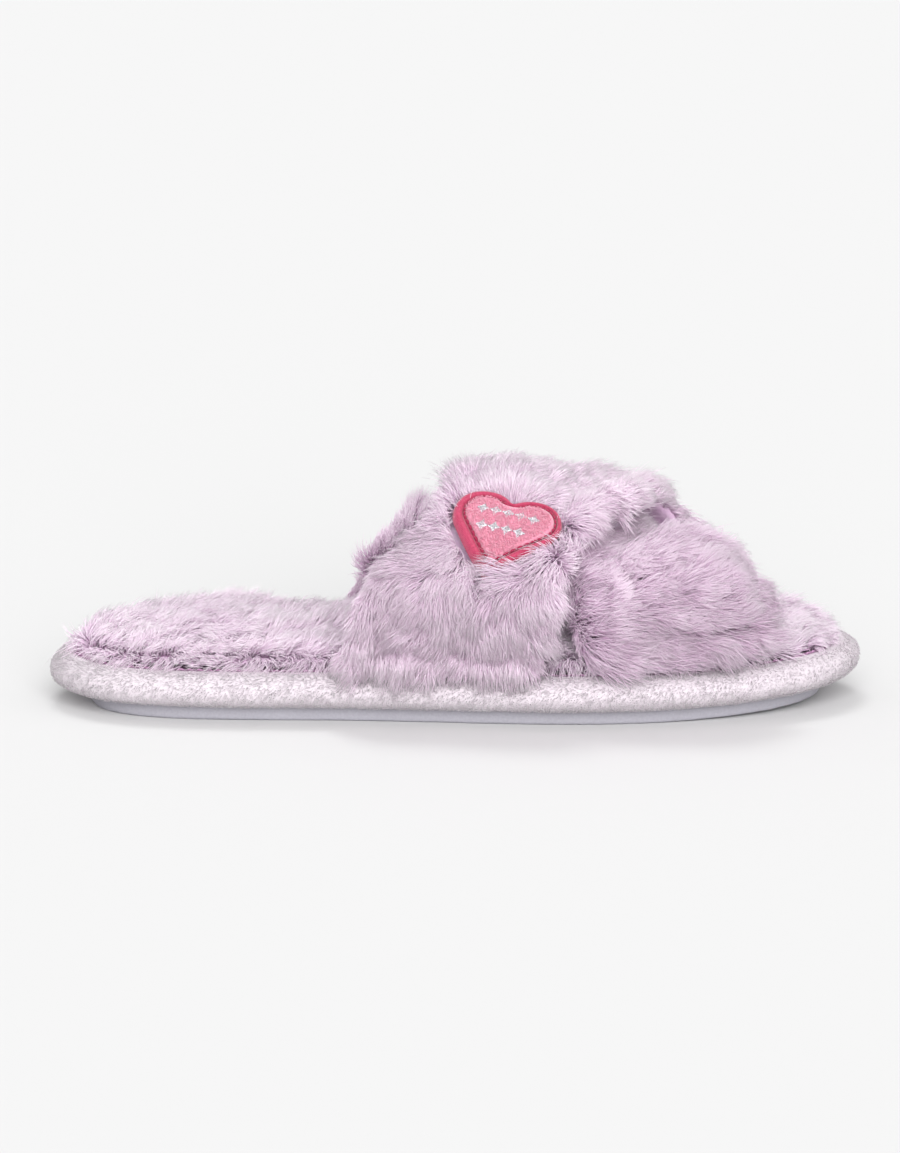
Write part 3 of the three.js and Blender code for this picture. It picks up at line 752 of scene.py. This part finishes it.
scene = bpy.context.scene
scene.view_settings.view_transform = "Standard"
TILT, DISTANCE = math.radians(12), 1600.0
FRAME_HEIGHT, SENSOR = 356.007, 36
FORWARD = np.array([0, math.cos(TILT), -math.sin(TILT)])
UP = np.array([0, math.sin(TILT), math.cos(TILT)])
aim = np.array([-1.865, 0, 30.0]) + UP * 7.657
camera_data = bpy.data.cameras.new("camera")
camera_data.sensor_width = SENSOR
camera_data.lens = DISTANCE * SENSOR / FRAME_HEIGHT
camera_data.clip_start, camera_data.clip_end = 0.05, 60
camera = bpy.data.objects.new("camera", camera_data)
scene.collection.objects.link(camera)
camera.location = Vector((aim - FORWARD * DISTANCE) * MM)
camera.rotation_euler = Vector(FORWARD).to_track_quat("-Z", "Y").to_euler()
scene.camera = camera

FLOOR_CORNERS = ((-9000, -6000, 0), (9000, -6000, 0), (9000, 9000, 0), (-9000, 9000, 0))
FLOOR_GREY = 0.655
floor = make_mesh("studio_floor", np.array(FLOOR_CORNERS), [np.array([[0, 1, 2, 3]])], smooth=False)
paper, _, _, paper_shader = new_material("studio_paper", 0.95, specular=0.0)
paper_shader.inputs["Base Color"].default_value = (FLOOR_GREY, FLOOR_GREY, FLOOR_GREY, 1)
floor.data.materials.append(paper)

world = bpy.data.worlds.new("studio")
scene.world = world
world.use_nodes = True
world.node_tree.nodes["Background"].inputs["Color"].default_value = (1.0, 1.0, 1.0, 1)
world.node_tree.nodes["Background"].inputs["Strength"].default_value = 0.68


def sun(name, direction, strength, angle):
    data = bpy.data.lights.new(name, "SUN")
    data.energy, data.angle = strength, math.radians(angle)
    lamp = bpy.data.objects.new(name, data)
    lamp.rotation_euler = Vector(direction).to_track_quat("-Z", "Y").to_euler()
    scene.collection.objects.link(lamp)


sun("key", (0.1, -0.45, -1.0), 0.8, 25)
sun("fill", (-0.1, 1.0, -0.45), 3.9, 45)


# ---- Sole ----

SIDE_INSET, END_INSET = 8.0, 12.0
TREAD_DEPTH, TREAD_STEP = 0.7, 3.4
ZIGZAG_STEP, ZIGZAG_REACH = 7.0, 3.5


def build_outsole():
    """The moulded slab, with a rough wall and a guessed zigzag tread."""
    def edge(extra):
        return lambda normal: mix(SIDE_INSET, END_INSET, normal[:, 0] ** 2) + extra

    top, count, steps = OUTSOLE_TOP, 420, 56
    profile = [
        (edge(0.2), top, 1.0), (edge(0.2), top, 0.4), (edge(0.2), top, 0.0), (edge(0), top - 0.25, 0.0),
        (edge(0), 3.4, 0.0), (edge(0), 2.2, 0.0), (edge(0), 1.2, 0.0), (edge(0.1), 0.6, 0.0),
        (edge(0.4), 0.2, 0.0), (edge(0.9), 0.05, 0.0), (edge(1.6), 0.0, 0.0), (edge(2.4), 0.0, 0.0)]
    border = np.linspace(0.0, 1.0, steps)[1:]
    rows, _ = sole_loops(profile + [(edge(2.4), 0.0, float(share)) for share in border], count)
    wall = rows[3:9]
    wall[..., 2] += 0.12 * noise(wall.reshape(-1, 3), 1.6, 11).reshape(wall.shape[:2])
    under = rows[len(profile):]
    across = under[..., 1] - SHIFT_Y
    zigzag = np.abs(((across / ZIGZAG_STEP) % 2) - 1) * ZIGZAG_REACH
    wave = np.abs((((under[..., 0] + zigzag) / TREAD_STEP) % 2) - 1)
    groove = TREAD_DEPTH * step_between(wave, 0.55, 0.75)
    border = border[:, None]
    under[..., 2] += groove * step_between(border, 0.05, 0.09) * (1 - step_between(border, 0.97, 1.0))
    slab = make_mesh("outsole_tread", rows.reshape(-1, 3), [grid_faces(len(rows), count)])
    finish_piece(slab, SHADED_RUBBER, ("outsole",))


def wrap_section(steps, shrink_by):
    """Half an ellipse, from the wrap's top over its bulge to its bottom."""
    out = []
    for k in range(steps + 1):
        turn = PI / 2 - PI * k / steps
        bulge = (WRAP_BULGE - shrink_by) * math.cos(turn)
        height = WRAP_BOTTOM + WRAP_HEIGHT / 2 + (WRAP_HEIGHT / 2 - shrink_by) * math.sin(turn)
        out.append((WRAP_BULGE - bulge, height, 0.0))
    return out


def build_wrap():
    """The pillow-like strip, creased a little, with a flange that goes in under the footbed."""
    thickness, count = 1.8, 900
    outer, inner = wrap_section(22, 0.0), wrap_section(10, thickness)[::-1]
    flange = [(10.0, WRAP_BOTTOM, 0.0), (15.0, WRAP_BOTTOM, 0.0), (15.0, WRAP_BOTTOM + thickness, 0.0)]
    rows, normal = sole_loops(outer + flange + inner, count)
    high = len(outer)
    skin = rows[:high]
    flat = skin.reshape(-1, 3)
    out = np.concatenate([np.repeat(normal[None], high, 0), np.zeros((high, count, 1))], -1).reshape(-1, 3)
    creases = noise(flat * [1, 1, 0.55], 4.2, 21) + 0.5 * noise(flat, 2.0, 22) + 1.2 * noise(flat, 9.0, 23)
    depth = (0.22 * creases).reshape(high, count) * np.sin(np.linspace(0.12, PI - 0.12, high))[:, None]
    rows[:high] = skin + (out * depth.reshape(-1)[:, None]).reshape(skin.shape)
    return make_mesh("side_wrap_cloth", rows.reshape(-1, 3), [grid_faces(len(rows), count, closed_rows=True)])


build_outsole()
wrap = build_wrap()
finish_piece(wrap, WRAP_CLOTH, ("side_wrap",))

for node, material in (("midsole_foam", FOAM), ("insole_board", BOARD)):
    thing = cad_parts[node]
    for place in thing.material_slots:
        place.material = material


def build_seam_binding_and_shade():
    """The dark mauve strip in the seam between the footbed and the wrap: partly the seam's thread and cloth,
    partly painted shade of the gap.
    """
    profile = [(7.0, 15.0, 0.0), (7.0, 15.3, 0.0), (9.0, 15.35, 0.0), (11.0, 15.3, 0.0), (11.0, 15.0, 0.0)]
    count = 600
    rows, _ = sole_loops(profile, count)
    faces = grid_faces(len(rows), count, closed_rows=True)
    finish_piece(make_mesh("footbed_seam_binding_and_shade", rows.reshape(-1, 3), [faces]), SEAM_THREAD)


def wrap_allowed(centre, facing):
    rim_facing = np.hypot(facing[:, 0], facing[:, 1]) > 0.12
    return rim_facing & (centre[:, 2] - lift(centre[:, 0]) > WRAP_BOTTOM + 0.2) & outward(centre, facing)


def outward(centre, facing):
    """True where a sole's surface faces away from the spine."""
    spine_x = np.clip(SPINE_SHARE * centre[:, 0], -90, 90)
    away = centre[:, :2] - np.stack([spine_x, centre_line(spine_x) + SHIFT_Y], -1)
    return dot(unit(away), facing[:, :2]) > 0.05


def nap_flow(places, around):
    """The wrap's nap is brushed along the rim and a little down."""
    along = np.cross(around, [0, 0, 1.0])
    return along * 0.8 + np.array([0, 0, -0.5])


def short_pile(places, around):
    return np.full(len(places), 0.9)


paths, normals, tone = grow(wrap, 36000, 300, wrap_allowed, nap_flow, short_pile, lean=1.15,
                            clump_area=4.0, pull=0.1, droop=0.0, swirl=0.5)
fur_pieces("side_wrap_plush", paths[:, [0, 2, 3]], normals, 0.5 + 0.4 * (tone - 0.5), SHORT_STRAND_WIDTH,
           PLUSH, ("side_wrap",))


# ---- Footbed ----

footbed = cad_shell("footbed_cushion", ("footbed_fur", "footbed_foam"), 3.0)


def footbed_amount(points, normals):
    """Most on top, less towards the heel and the toe; the sides go out a little instead."""
    x = points[:, 0]
    lower = 0.8 + 2.4 * step_between(x, -80, -40) * (1 - step_between(x, 60, 90))
    top = step_between(normals[:, 2], -0.2, 0.6)
    return 0.4 + (5.4 + lower) * top - 2.2 * step_between(-np.abs(normals[:, 2]), -0.6, 0)


shrink(footbed, footbed_amount)
inflate(footbed, lambda p, n: step_between(n[:, 2], -0.1, 0.4))
finish_piece(footbed, SHADED_UNDERCOAT, ("footbed_fur", "footbed_foam"))


def footbed_allowed(centre, facing):
    return (facing[:, 2] > -0.35) & (centre[:, 2] - lift(centre[:, 0]) > 15.6)


def footbed_flow(places, around):
    """Brushed towards the toe and the far side, and over the edges outwards."""
    base = np.array([0.75, 0.35, 0.0]) + 0.0 * places
    spine_x = np.clip(SPINE_SHARE * places[:, 0], -95, 95)
    away = np.zeros_like(places)
    away[:, :2] = unit(places[:, :2] - np.stack([spine_x, centre_line(spine_x) + SHIFT_Y], -1))
    side = np.where(places[:, 1] - SHIFT_Y < centre_line(places[:, 0]), -1.0, 1.0)
    reach = np.abs(places[:, 1] - SHIFT_Y - centre_line(places[:, 0]))
    reach = reach / np.maximum(half_width(places[:, 0], side), 1)
    edge = np.maximum(step_between(1 - around[:, 2], 0.08, 0.4), step_between(reach, 0.62, 0.78))[:, None]
    return mix(base, away + np.array([0, 0, -0.3]), edge)


FOOTBED_PILE, REAR_PILE, FRONT_PILE = 9.0, 11.5, 12.5


def footbed_length(places, around):
    """The pile gets shorter at the toe, and longer where it lies over the heel's edge."""
    heel = mix(1.0, 1.1, step_between(-places[:, 0], 100, 116))
    toe = mix(1.0, 0.8, step_between(places[:, 0], 100, 116))
    return FOOTBED_PILE * heel * toe


def footbed_lean(places, around):
    return mix(0.85, 1.2, step_between(-places[:, 0], 94, 112))


paths, normals, tone = grow(footbed, 78000, 400, footbed_allowed, footbed_flow, footbed_length,
                            footbed_lean, clump_area=16.0, pull=0.36, droop=0.1, swirl=0.9, ruffle=0.8)
fur_pieces("footbed_pile", paths, normals, tone, LONG_STRAND_WIDTH, FOOTBED_FUR,
           ("footbed_fur",))


# ---- Straps ----

HEM_DROP = 0.8


def strap_body(name, nodes, extra):
    """A strap's padded body, evened out and let down at its hem, and taken in to leave room for the pile.
    extra(points) is added to how far it is taken in."""
    body = cad_shell(name, nodes, 4.0)
    smooth_out(body, 16, lambda p: step_between(-p[:, 2], -38, -30))
    points = points_of(body)
    points[:, 2] -= HEM_DROP * step_between(-points[:, 2], -32, -21)
    set_points(body, points)

    def amount(points, normals):
        facing = dot(normals, arch_radial(points))
        inner = 0.5 * step_between(facing, -0.7, -0.3)
        outer = 6.4 * step_between(facing, -0.2, 0.7)
        side = 1.2 * step_between(-np.abs(facing), -0.6, 0)
        return extra(points) - 0.1 + inner + outer + side

    shrink(body, amount)
    inflate(body, lambda p, n: step_between(dot(n, arch_radial(p)), -0.1, 0.4))
    finish_piece(body, SHADED_UNDERCOAT, nodes)
    return body


def over_instep(points):
    return step_between(arch_radial(points)[:, 2], 0.55, 0.9)


def strap_allowed(centre, facing):
    return (dot(facing, arch_radial(centre)) > -0.28) & (centre[:, 2] > 16.8) & (facing[:, 2] > -0.45)


def strap_lean(places, around):
    """The pile lies down more where it drapes over the sole's edge."""
    return mix(1.15, 0.93, step_between(places[:, 2], 18, 32))


def edge_length(places, around):
    """Share of the pile's length. A strap's edge that faces forwards or back has shorter pile, which is
    shortest low on the outer side and hardly cut high up."""
    edge = step_between(np.abs(around[:, 0]), 0.3, 0.8)
    short = mix(0.58, 0.15, step_between(places[:, 2], 38, 54))
    return 1 - edge * mix(short, 0.4, step_between(places[:, 1], 0, 25))


def down_the_arch(places):
    """Direction around the arch towards the sole."""
    side = np.where(places[:, 1] < 0, -1.0, 1.0)
    radial = arch_radial(places)
    return np.stack([np.zeros(len(places)), side * np.abs(radial[:, 2]), -np.abs(radial[:, 1])], -1)


HEART_AT = patch_place(np.array(0.0), np.array(-2.0), 0.0)


def rear_flow(places, around):
    """Parted around the heart, down the sides, towards the toe over the instep, and turned back over the
    heart's lower edge on the toe side."""
    radial = arch_radial(places)
    crest = step_between(radial[:, 2], 0.55, 0.95)[:, None]
    away = places - HEART_AT
    near = np.exp(-(np.linalg.norm(away, axis=1) / 38) ** 2)[:, None]
    down = down_the_arch(places) + np.array([-0.15, 0, 0])
    flow = mix(down, np.array([0.9, 0.25, 0.0]) + 0 * places, crest)
    flow = mix(flow, unit(away) + 0.35 * down, near * np.where(places[:, 1:2] < 5, 1.0, 0.0))
    local = to_patch(places)
    distance = -inside_heart(local[:, 0], local[:, 1], 0.0)
    angle = np.degrees(np.arctan2(local[:, 1] + 2, local[:, 0]))
    beside = step_between(angle, -86, -56) * (1 - step_between(angle, -5, 35))
    over = beside * (1 - step_between(distance, 1.0, 9.0)) * (distance > -2) * (local[:, 2] > -30)
    return turned(flattened(flow, around), around, -PI * 0.85 * over)


def front_flow(places, around):
    """Fans out from the crease between the straps, forwards and down."""
    side = np.where(places[:, 1] < 0, -1.0, 1.0)
    origin = np.stack([np.where(side < 0, 20.0, -70.0), side * 44, np.full(len(places), 24.0)], -1)
    away = unit(places - origin)
    return away + 0.25 * down_the_arch(places) + np.array([0.3, 0, 0])


def clear_of_heart(paths):
    """True for the strands that aren't rooted under the patch."""
    root = to_patch(paths[:, 0])
    inside = inside_heart(root[:, 0], root[:, 1], 0.8) > 0
    return ~(inside & (root[:, 2] > -30))


def rear_extra(points):
    """More over the instep towards the toe and on the inner side, less low on the outer side."""
    x, y, z = points.T
    front = 3.2 * over_instep(points) * step_between(x, 5, 40)
    far = 1.5 * step_between(y, 20, 40)
    hem = 5.0 * step_between(x, 20, 32) * (y < -10) * step_between(-z, -42, -32)
    return front + far - hem


def rear_length(places, around):
    return REAR_PILE * edge_length(places, around) * (1 - 0.15 * over_instep(places))


def front_extra(points):
    """More on the inner side, less at the toe's edge and low on the outer side towards the heel."""
    x, y, z = points.T
    far = 1.8 * step_between(y, 20, 40)
    toe = 4.5 * step_between(x, 56, 80) * step_between(z, 24, 36) * (y < 20)
    hem = 3.5 * step_between(-x, -52, -42) * (y < -10) * step_between(-z, -42, -32)
    return far - toe - hem


def front_length(places, around):
    return FRONT_PILE * edge_length(places, around)


rear = strap_body("rear_strap_body", ("rear_strap_padding", "rear_strap_fur"), rear_extra)
paths, normals, tone = grow(rear, 84000, 500, strap_allowed, rear_flow, rear_length, strap_lean,
                            clump_area=14.0, pull=0.34, droop=0.16, swirl=0.75, ruffle=0.7)
keep = clear_of_heart(paths)
# Painted light: the rear strap's pile, the same fur as the front strap's, gets a lighter tone to match how
# brightly it is lit.
fur_pieces("rear_strap_pile", paths[keep], normals[keep], limited(tone[keep] + 0.18), LONG_STRAND_WIDTH,
           STRAP_FUR, ("rear_strap_fur",))

front = strap_body("front_strap_body", ("front_strap_padding", "front_strap_fur"), front_extra)
paths, normals, tone = grow(front, 68000, 600, strap_allowed, front_flow, front_length, strap_lean,
                            clump_area=14.0, pull=0.34, droop=0.1, swirl=0.6, ruffle=0.7)
# Painted shade: the front strap's pile, the same fur as the rear strap's, gets a darker tone for the less
# light that falls on it.
fur_pieces("front_strap_pile", paths, normals, limited(tone - 0.3), LONG_STRAND_WIDTH, STRAP_FUR,
           ("front_strap_fur",))


# ---- Linings ----

def one_face_area(node):
    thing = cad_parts[node]
    points, triangles = points_of(thing), triangles_of(thing)
    a, b, c = (points[triangles[:, k]] for k in range(3))
    return np.linalg.norm(np.cross(b - a, c - a), axis=1).sum() / 4


LINING_WIDTH_SHARE = 0.9
SLICES, SLICE_REACH = 25, 0.09


def build_lining(side_name):
    """The cloth under a strap: the CAD lining's own surface, a little narrower so that its edges stay
    under the pile."""
    node = f"{side_name}_strap_lining"
    cloth = cad_shell(f"{side_name}_strap_lining_cloth", (node,), None)
    subdivide = cloth.modifiers.new("subdivide", "SUBSURF")
    subdivide.levels = subdivide.render_levels = 2
    apply_modifiers(cloth)
    points = points_of(cloth)
    turn = np.arctan2(points[:, 1], points[:, 2] - ARCH_AXIS_HEIGHT)
    slices = np.linspace(turn.min(), turn.max(), SLICES)
    within = [points[np.abs(turn - at) < SLICE_REACH] for at in slices]
    middles = np.array([(part.min(0) + part.max(0)) / 2 for part in within])
    middle = np.interp(turn, slices, middles[:, 0])
    points[:, 0] = middle + (points[:, 0] - middle) * LINING_WIDTH_SHARE
    set_points(cloth, points)
    finish_piece(cloth, LINING, (node,))
    area = one_face_area(node) * LINING_WIDTH_SHARE


build_lining("rear")
build_lining("front")


# ---- Heart patch ----

FINE, FINE_LENGTH = heart_outline(1200)
ACROSS = unit(FINE - HEART_MIDDLE)
BORDER_WIDTH = 2.5 + 0.9 * (ACROSS @ np.array([-0.8, -0.6]))
BORDER_TOP = 1.8
STITCH = 0.52


def heart_rows(places):
    """Rows of points from (inset, height, share towards the middle)."""
    rows = []
    for inset, height, inward in places:
        flat = mix(heart_inset(FINE, np.reshape(inset, (-1, 1))), HEART_MIDDLE, inward)
        rows.append(patch_place(flat[:, 0], flat[:, 1], height))
    return np.array(rows)


def build_heart_border():
    places = []
    along = np.arange(len(FINE)) / len(FINE) * FINE_LENGTH
    for share in np.linspace(0, 1, 11):
        crown = math.sin(PI * share) ** 0.6
        ridge = np.abs(np.sin(PI * (along / STITCH + 0.8 * share)))
        height = 0.1 + (BORDER_TOP - 0.1) * crown + (0.16 * ridge - 0.16) * (0.3 + 0.7 * crown)
        scallop = 0.06 * ridge * (1 if share < 0.5 else -1) * (share in (0, 1))
        places.append((BORDER_WIDTH * share + scallop, height, 0.0))
    places += [(BORDER_WIDTH, 0.02, 0.0), (0.0, 0.02, 0.0)]
    rows = heart_rows(places)
    faces = grid_faces(len(rows), len(FINE), closed_rows=True)
    finish_piece(make_mesh("heart_border_satin", rows.reshape(-1, 3), [faces]), SATIN,
                 ("patch_border",))


def build_heart_backing():
    under = [(0.25, -0.8, 1.0), (0.25, -0.8, 0.5), (0.25, -0.8, 0.0), (0.1, -0.4, 0.0), (0.25, 0.0, 0.0)]
    rows = heart_rows(under + [(0.25, 0.0, float(share)) for share in np.linspace(0.1, 1.0, 12)])
    faces = grid_faces(len(rows), len(FINE))
    finish_piece(make_mesh("heart_backing_twill", rows.reshape(-1, 3), [faces]), SATIN,
                 ("patch_backing",))


def build_heart_centre():
    start = BORDER_WIDTH + 0.75
    top = start + 0.5
    places = [(start, 0.05, 1.0), (start, 0.05, 0.5), (start, 0.05, 0.0), (start - 0.05, 0.7, 0.0),
              (start + 0.15, 1.3, 0.0), (top, 1.62, 0.0)]
    edge = heart_inset(FINE, top[:, None])
    for share in np.linspace(0.03, 1.0, 46):
        flat = mix(edge, HEART_MIDDLE, share)
        slant = flat[:, 0] * math.cos(0.5) + flat[:, 1] * math.sin(0.5)
        grain = 0.07 * np.sin(2 * PI * slant / 0.8)
        spots = np.concatenate([flat, np.zeros((len(flat), 1))], 1)
        rough = 0.1 * noise(spots, 0.9, 71) + 0.12 * noise(spots, 2.6, 72)
        height = 1.65 + 0.2 * share ** 0.5 + (grain + rough) * min(1.0, 12 * (1 - share))
        places.append((top, height, float(share)))
    rows = heart_rows(places)
    felt = make_mesh("heart_centre_felt", rows.reshape(-1, 3), [grid_faces(len(rows), len(FINE))])
    return finish_piece(felt, FELT, ("patch_centre",))


def stitches(name, starts, ends, up, radius, material, nodes):
    """Closed rounded stitches from start to end, raised a little in the middle."""
    starts, ends = np.asarray(starts), np.asarray(ends)
    n, sides, steps = len(starts), 6, 7
    heading = unit(ends - starts)
    side = unit(np.cross(heading, up))
    over = np.cross(side, heading)
    rows = []
    for k in range(steps):
        share = k / (steps - 1)
        bulge = math.sin(PI * share) ** 0.35 if 0 < k < steps - 1 else 0.25
        middle = mix(starts, ends, share) + over * (radius * 0.6 * math.sin(PI * share))
        turn = np.arange(sides) * 2 * PI / sides
        rows.append(middle[:, None] + radius * bulge * (np.cos(turn)[None, :, None] * side[:, None]
                                                        + np.sin(turn)[None, :, None] * over[:, None]))
    verts = np.stack(rows, 1).reshape(n, -1, 3)
    faces = grid_faces(steps, sides)
    last = (steps - 1) * sides
    caps = np.array([list(range(sides)), [last + k for k in range(sides)][::-1]])
    base = (np.arange(n) * steps * sides)[:, None, None]
    faces, caps = (base + faces[None]).reshape(-1, 4), (base + caps[None]).reshape(-1, sides)
    finish_piece(make_mesh(name, verts.reshape(-1, 3), [faces, caps]), material, nodes)


BORDER_STITCHES, STITCH_SHARE = 44, 0.86


def build_border_thread():
    line = heart_inset(FINE, (BORDER_WIDTH + 0.35)[:, None])
    at = np.arange(BORDER_STITCHES) * len(FINE) / BORDER_STITCHES
    first = line[at.astype(int)]
    second = line[(at + len(FINE) / BORDER_STITCHES * STITCH_SHARE).astype(int) % len(FINE)]
    stitches("heart_border_stitches", patch_place(first[:, 0], first[:, 1], 1.0),
             patch_place(second[:, 0], second[:, 1], 1.0), PATCH_Z, 0.36, DARK_THREAD,
             ("patch_border_thread",))


STAR_REACH, STAR_WAIST = 2.15, 0.76
STAR_DROP, STAR_HEIGHT = 3.2, 1.95


def build_star(row, number):
    """Eleven stitches side by side that make a four-pointed star."""
    node = f"patch_star_{row}_{number}"
    centre = to_patch(centre_of(node)[None])[0]
    across = np.linspace(-1.65, 1.65, 11)
    near = STAR_REACH - (STAR_REACH - STAR_WAIST) / STAR_WAIST * np.abs(across)
    far = STAR_WAIST * (STAR_REACH - np.abs(across)) / (STAR_REACH - STAR_WAIST)
    half = np.where(np.abs(across) < STAR_WAIST, near, far) + 0.08
    a, b = centre[0] + across, centre[1] - STAR_DROP
    stitches(f"silver_star_{row}_{number}", patch_place(a, b - half, STAR_HEIGHT),
             patch_place(a, b + half, STAR_HEIGHT), PATCH_Z, 0.22, SILVER, (node,))


SEAM_STITCHES, SEAM_INSET, SEAM_HEIGHT = 196, 7.8, 15.5


def build_seam_stitches():
    rim, normal = even_rim(SEAM_STITCHES * 4)
    line = rim - normal * SEAM_INSET
    line = np.stack([line[:, 0], line[:, 1] + SHIFT_Y, SEAM_HEIGHT + lift(line[:, 0])], -1)
    stitches("footbed_seam_stitches", line[0::4], line[3::4], np.array([0, 0, 1.0]), 0.32, SEAM_THREAD,
             ("sole_seam_thread",))


build_seam_binding_and_shade()
build_seam_stitches()
build_heart_backing()
build_heart_border()
build_border_thread()
heart_centre = build_heart_centre()
for row, count in (("upper", 5), ("lower", 4)):
    for number in range(1, count + 1):
        build_star(row, number)


def felt_allowed(centre, facing):
    local = to_patch(centre)
    return (facing @ PATCH_Z > 0.2) & (inside_heart(local[:, 0], local[:, 1], -3.4) > 0)


paths, normals, tone = grow(heart_centre, 5000, 700, felt_allowed, lambda p, n: PATCH_X + 0 * p, short_pile,
                            lean=0.9, clump_area=2.0, pull=0.3, droop=0.0, swirl=1.6)
fur_pieces("heart_centre_fuzz", paths, normals, tone, SHORT_STRAND_WIDTH, FELT_FUZZ,
           ("patch_centre",))
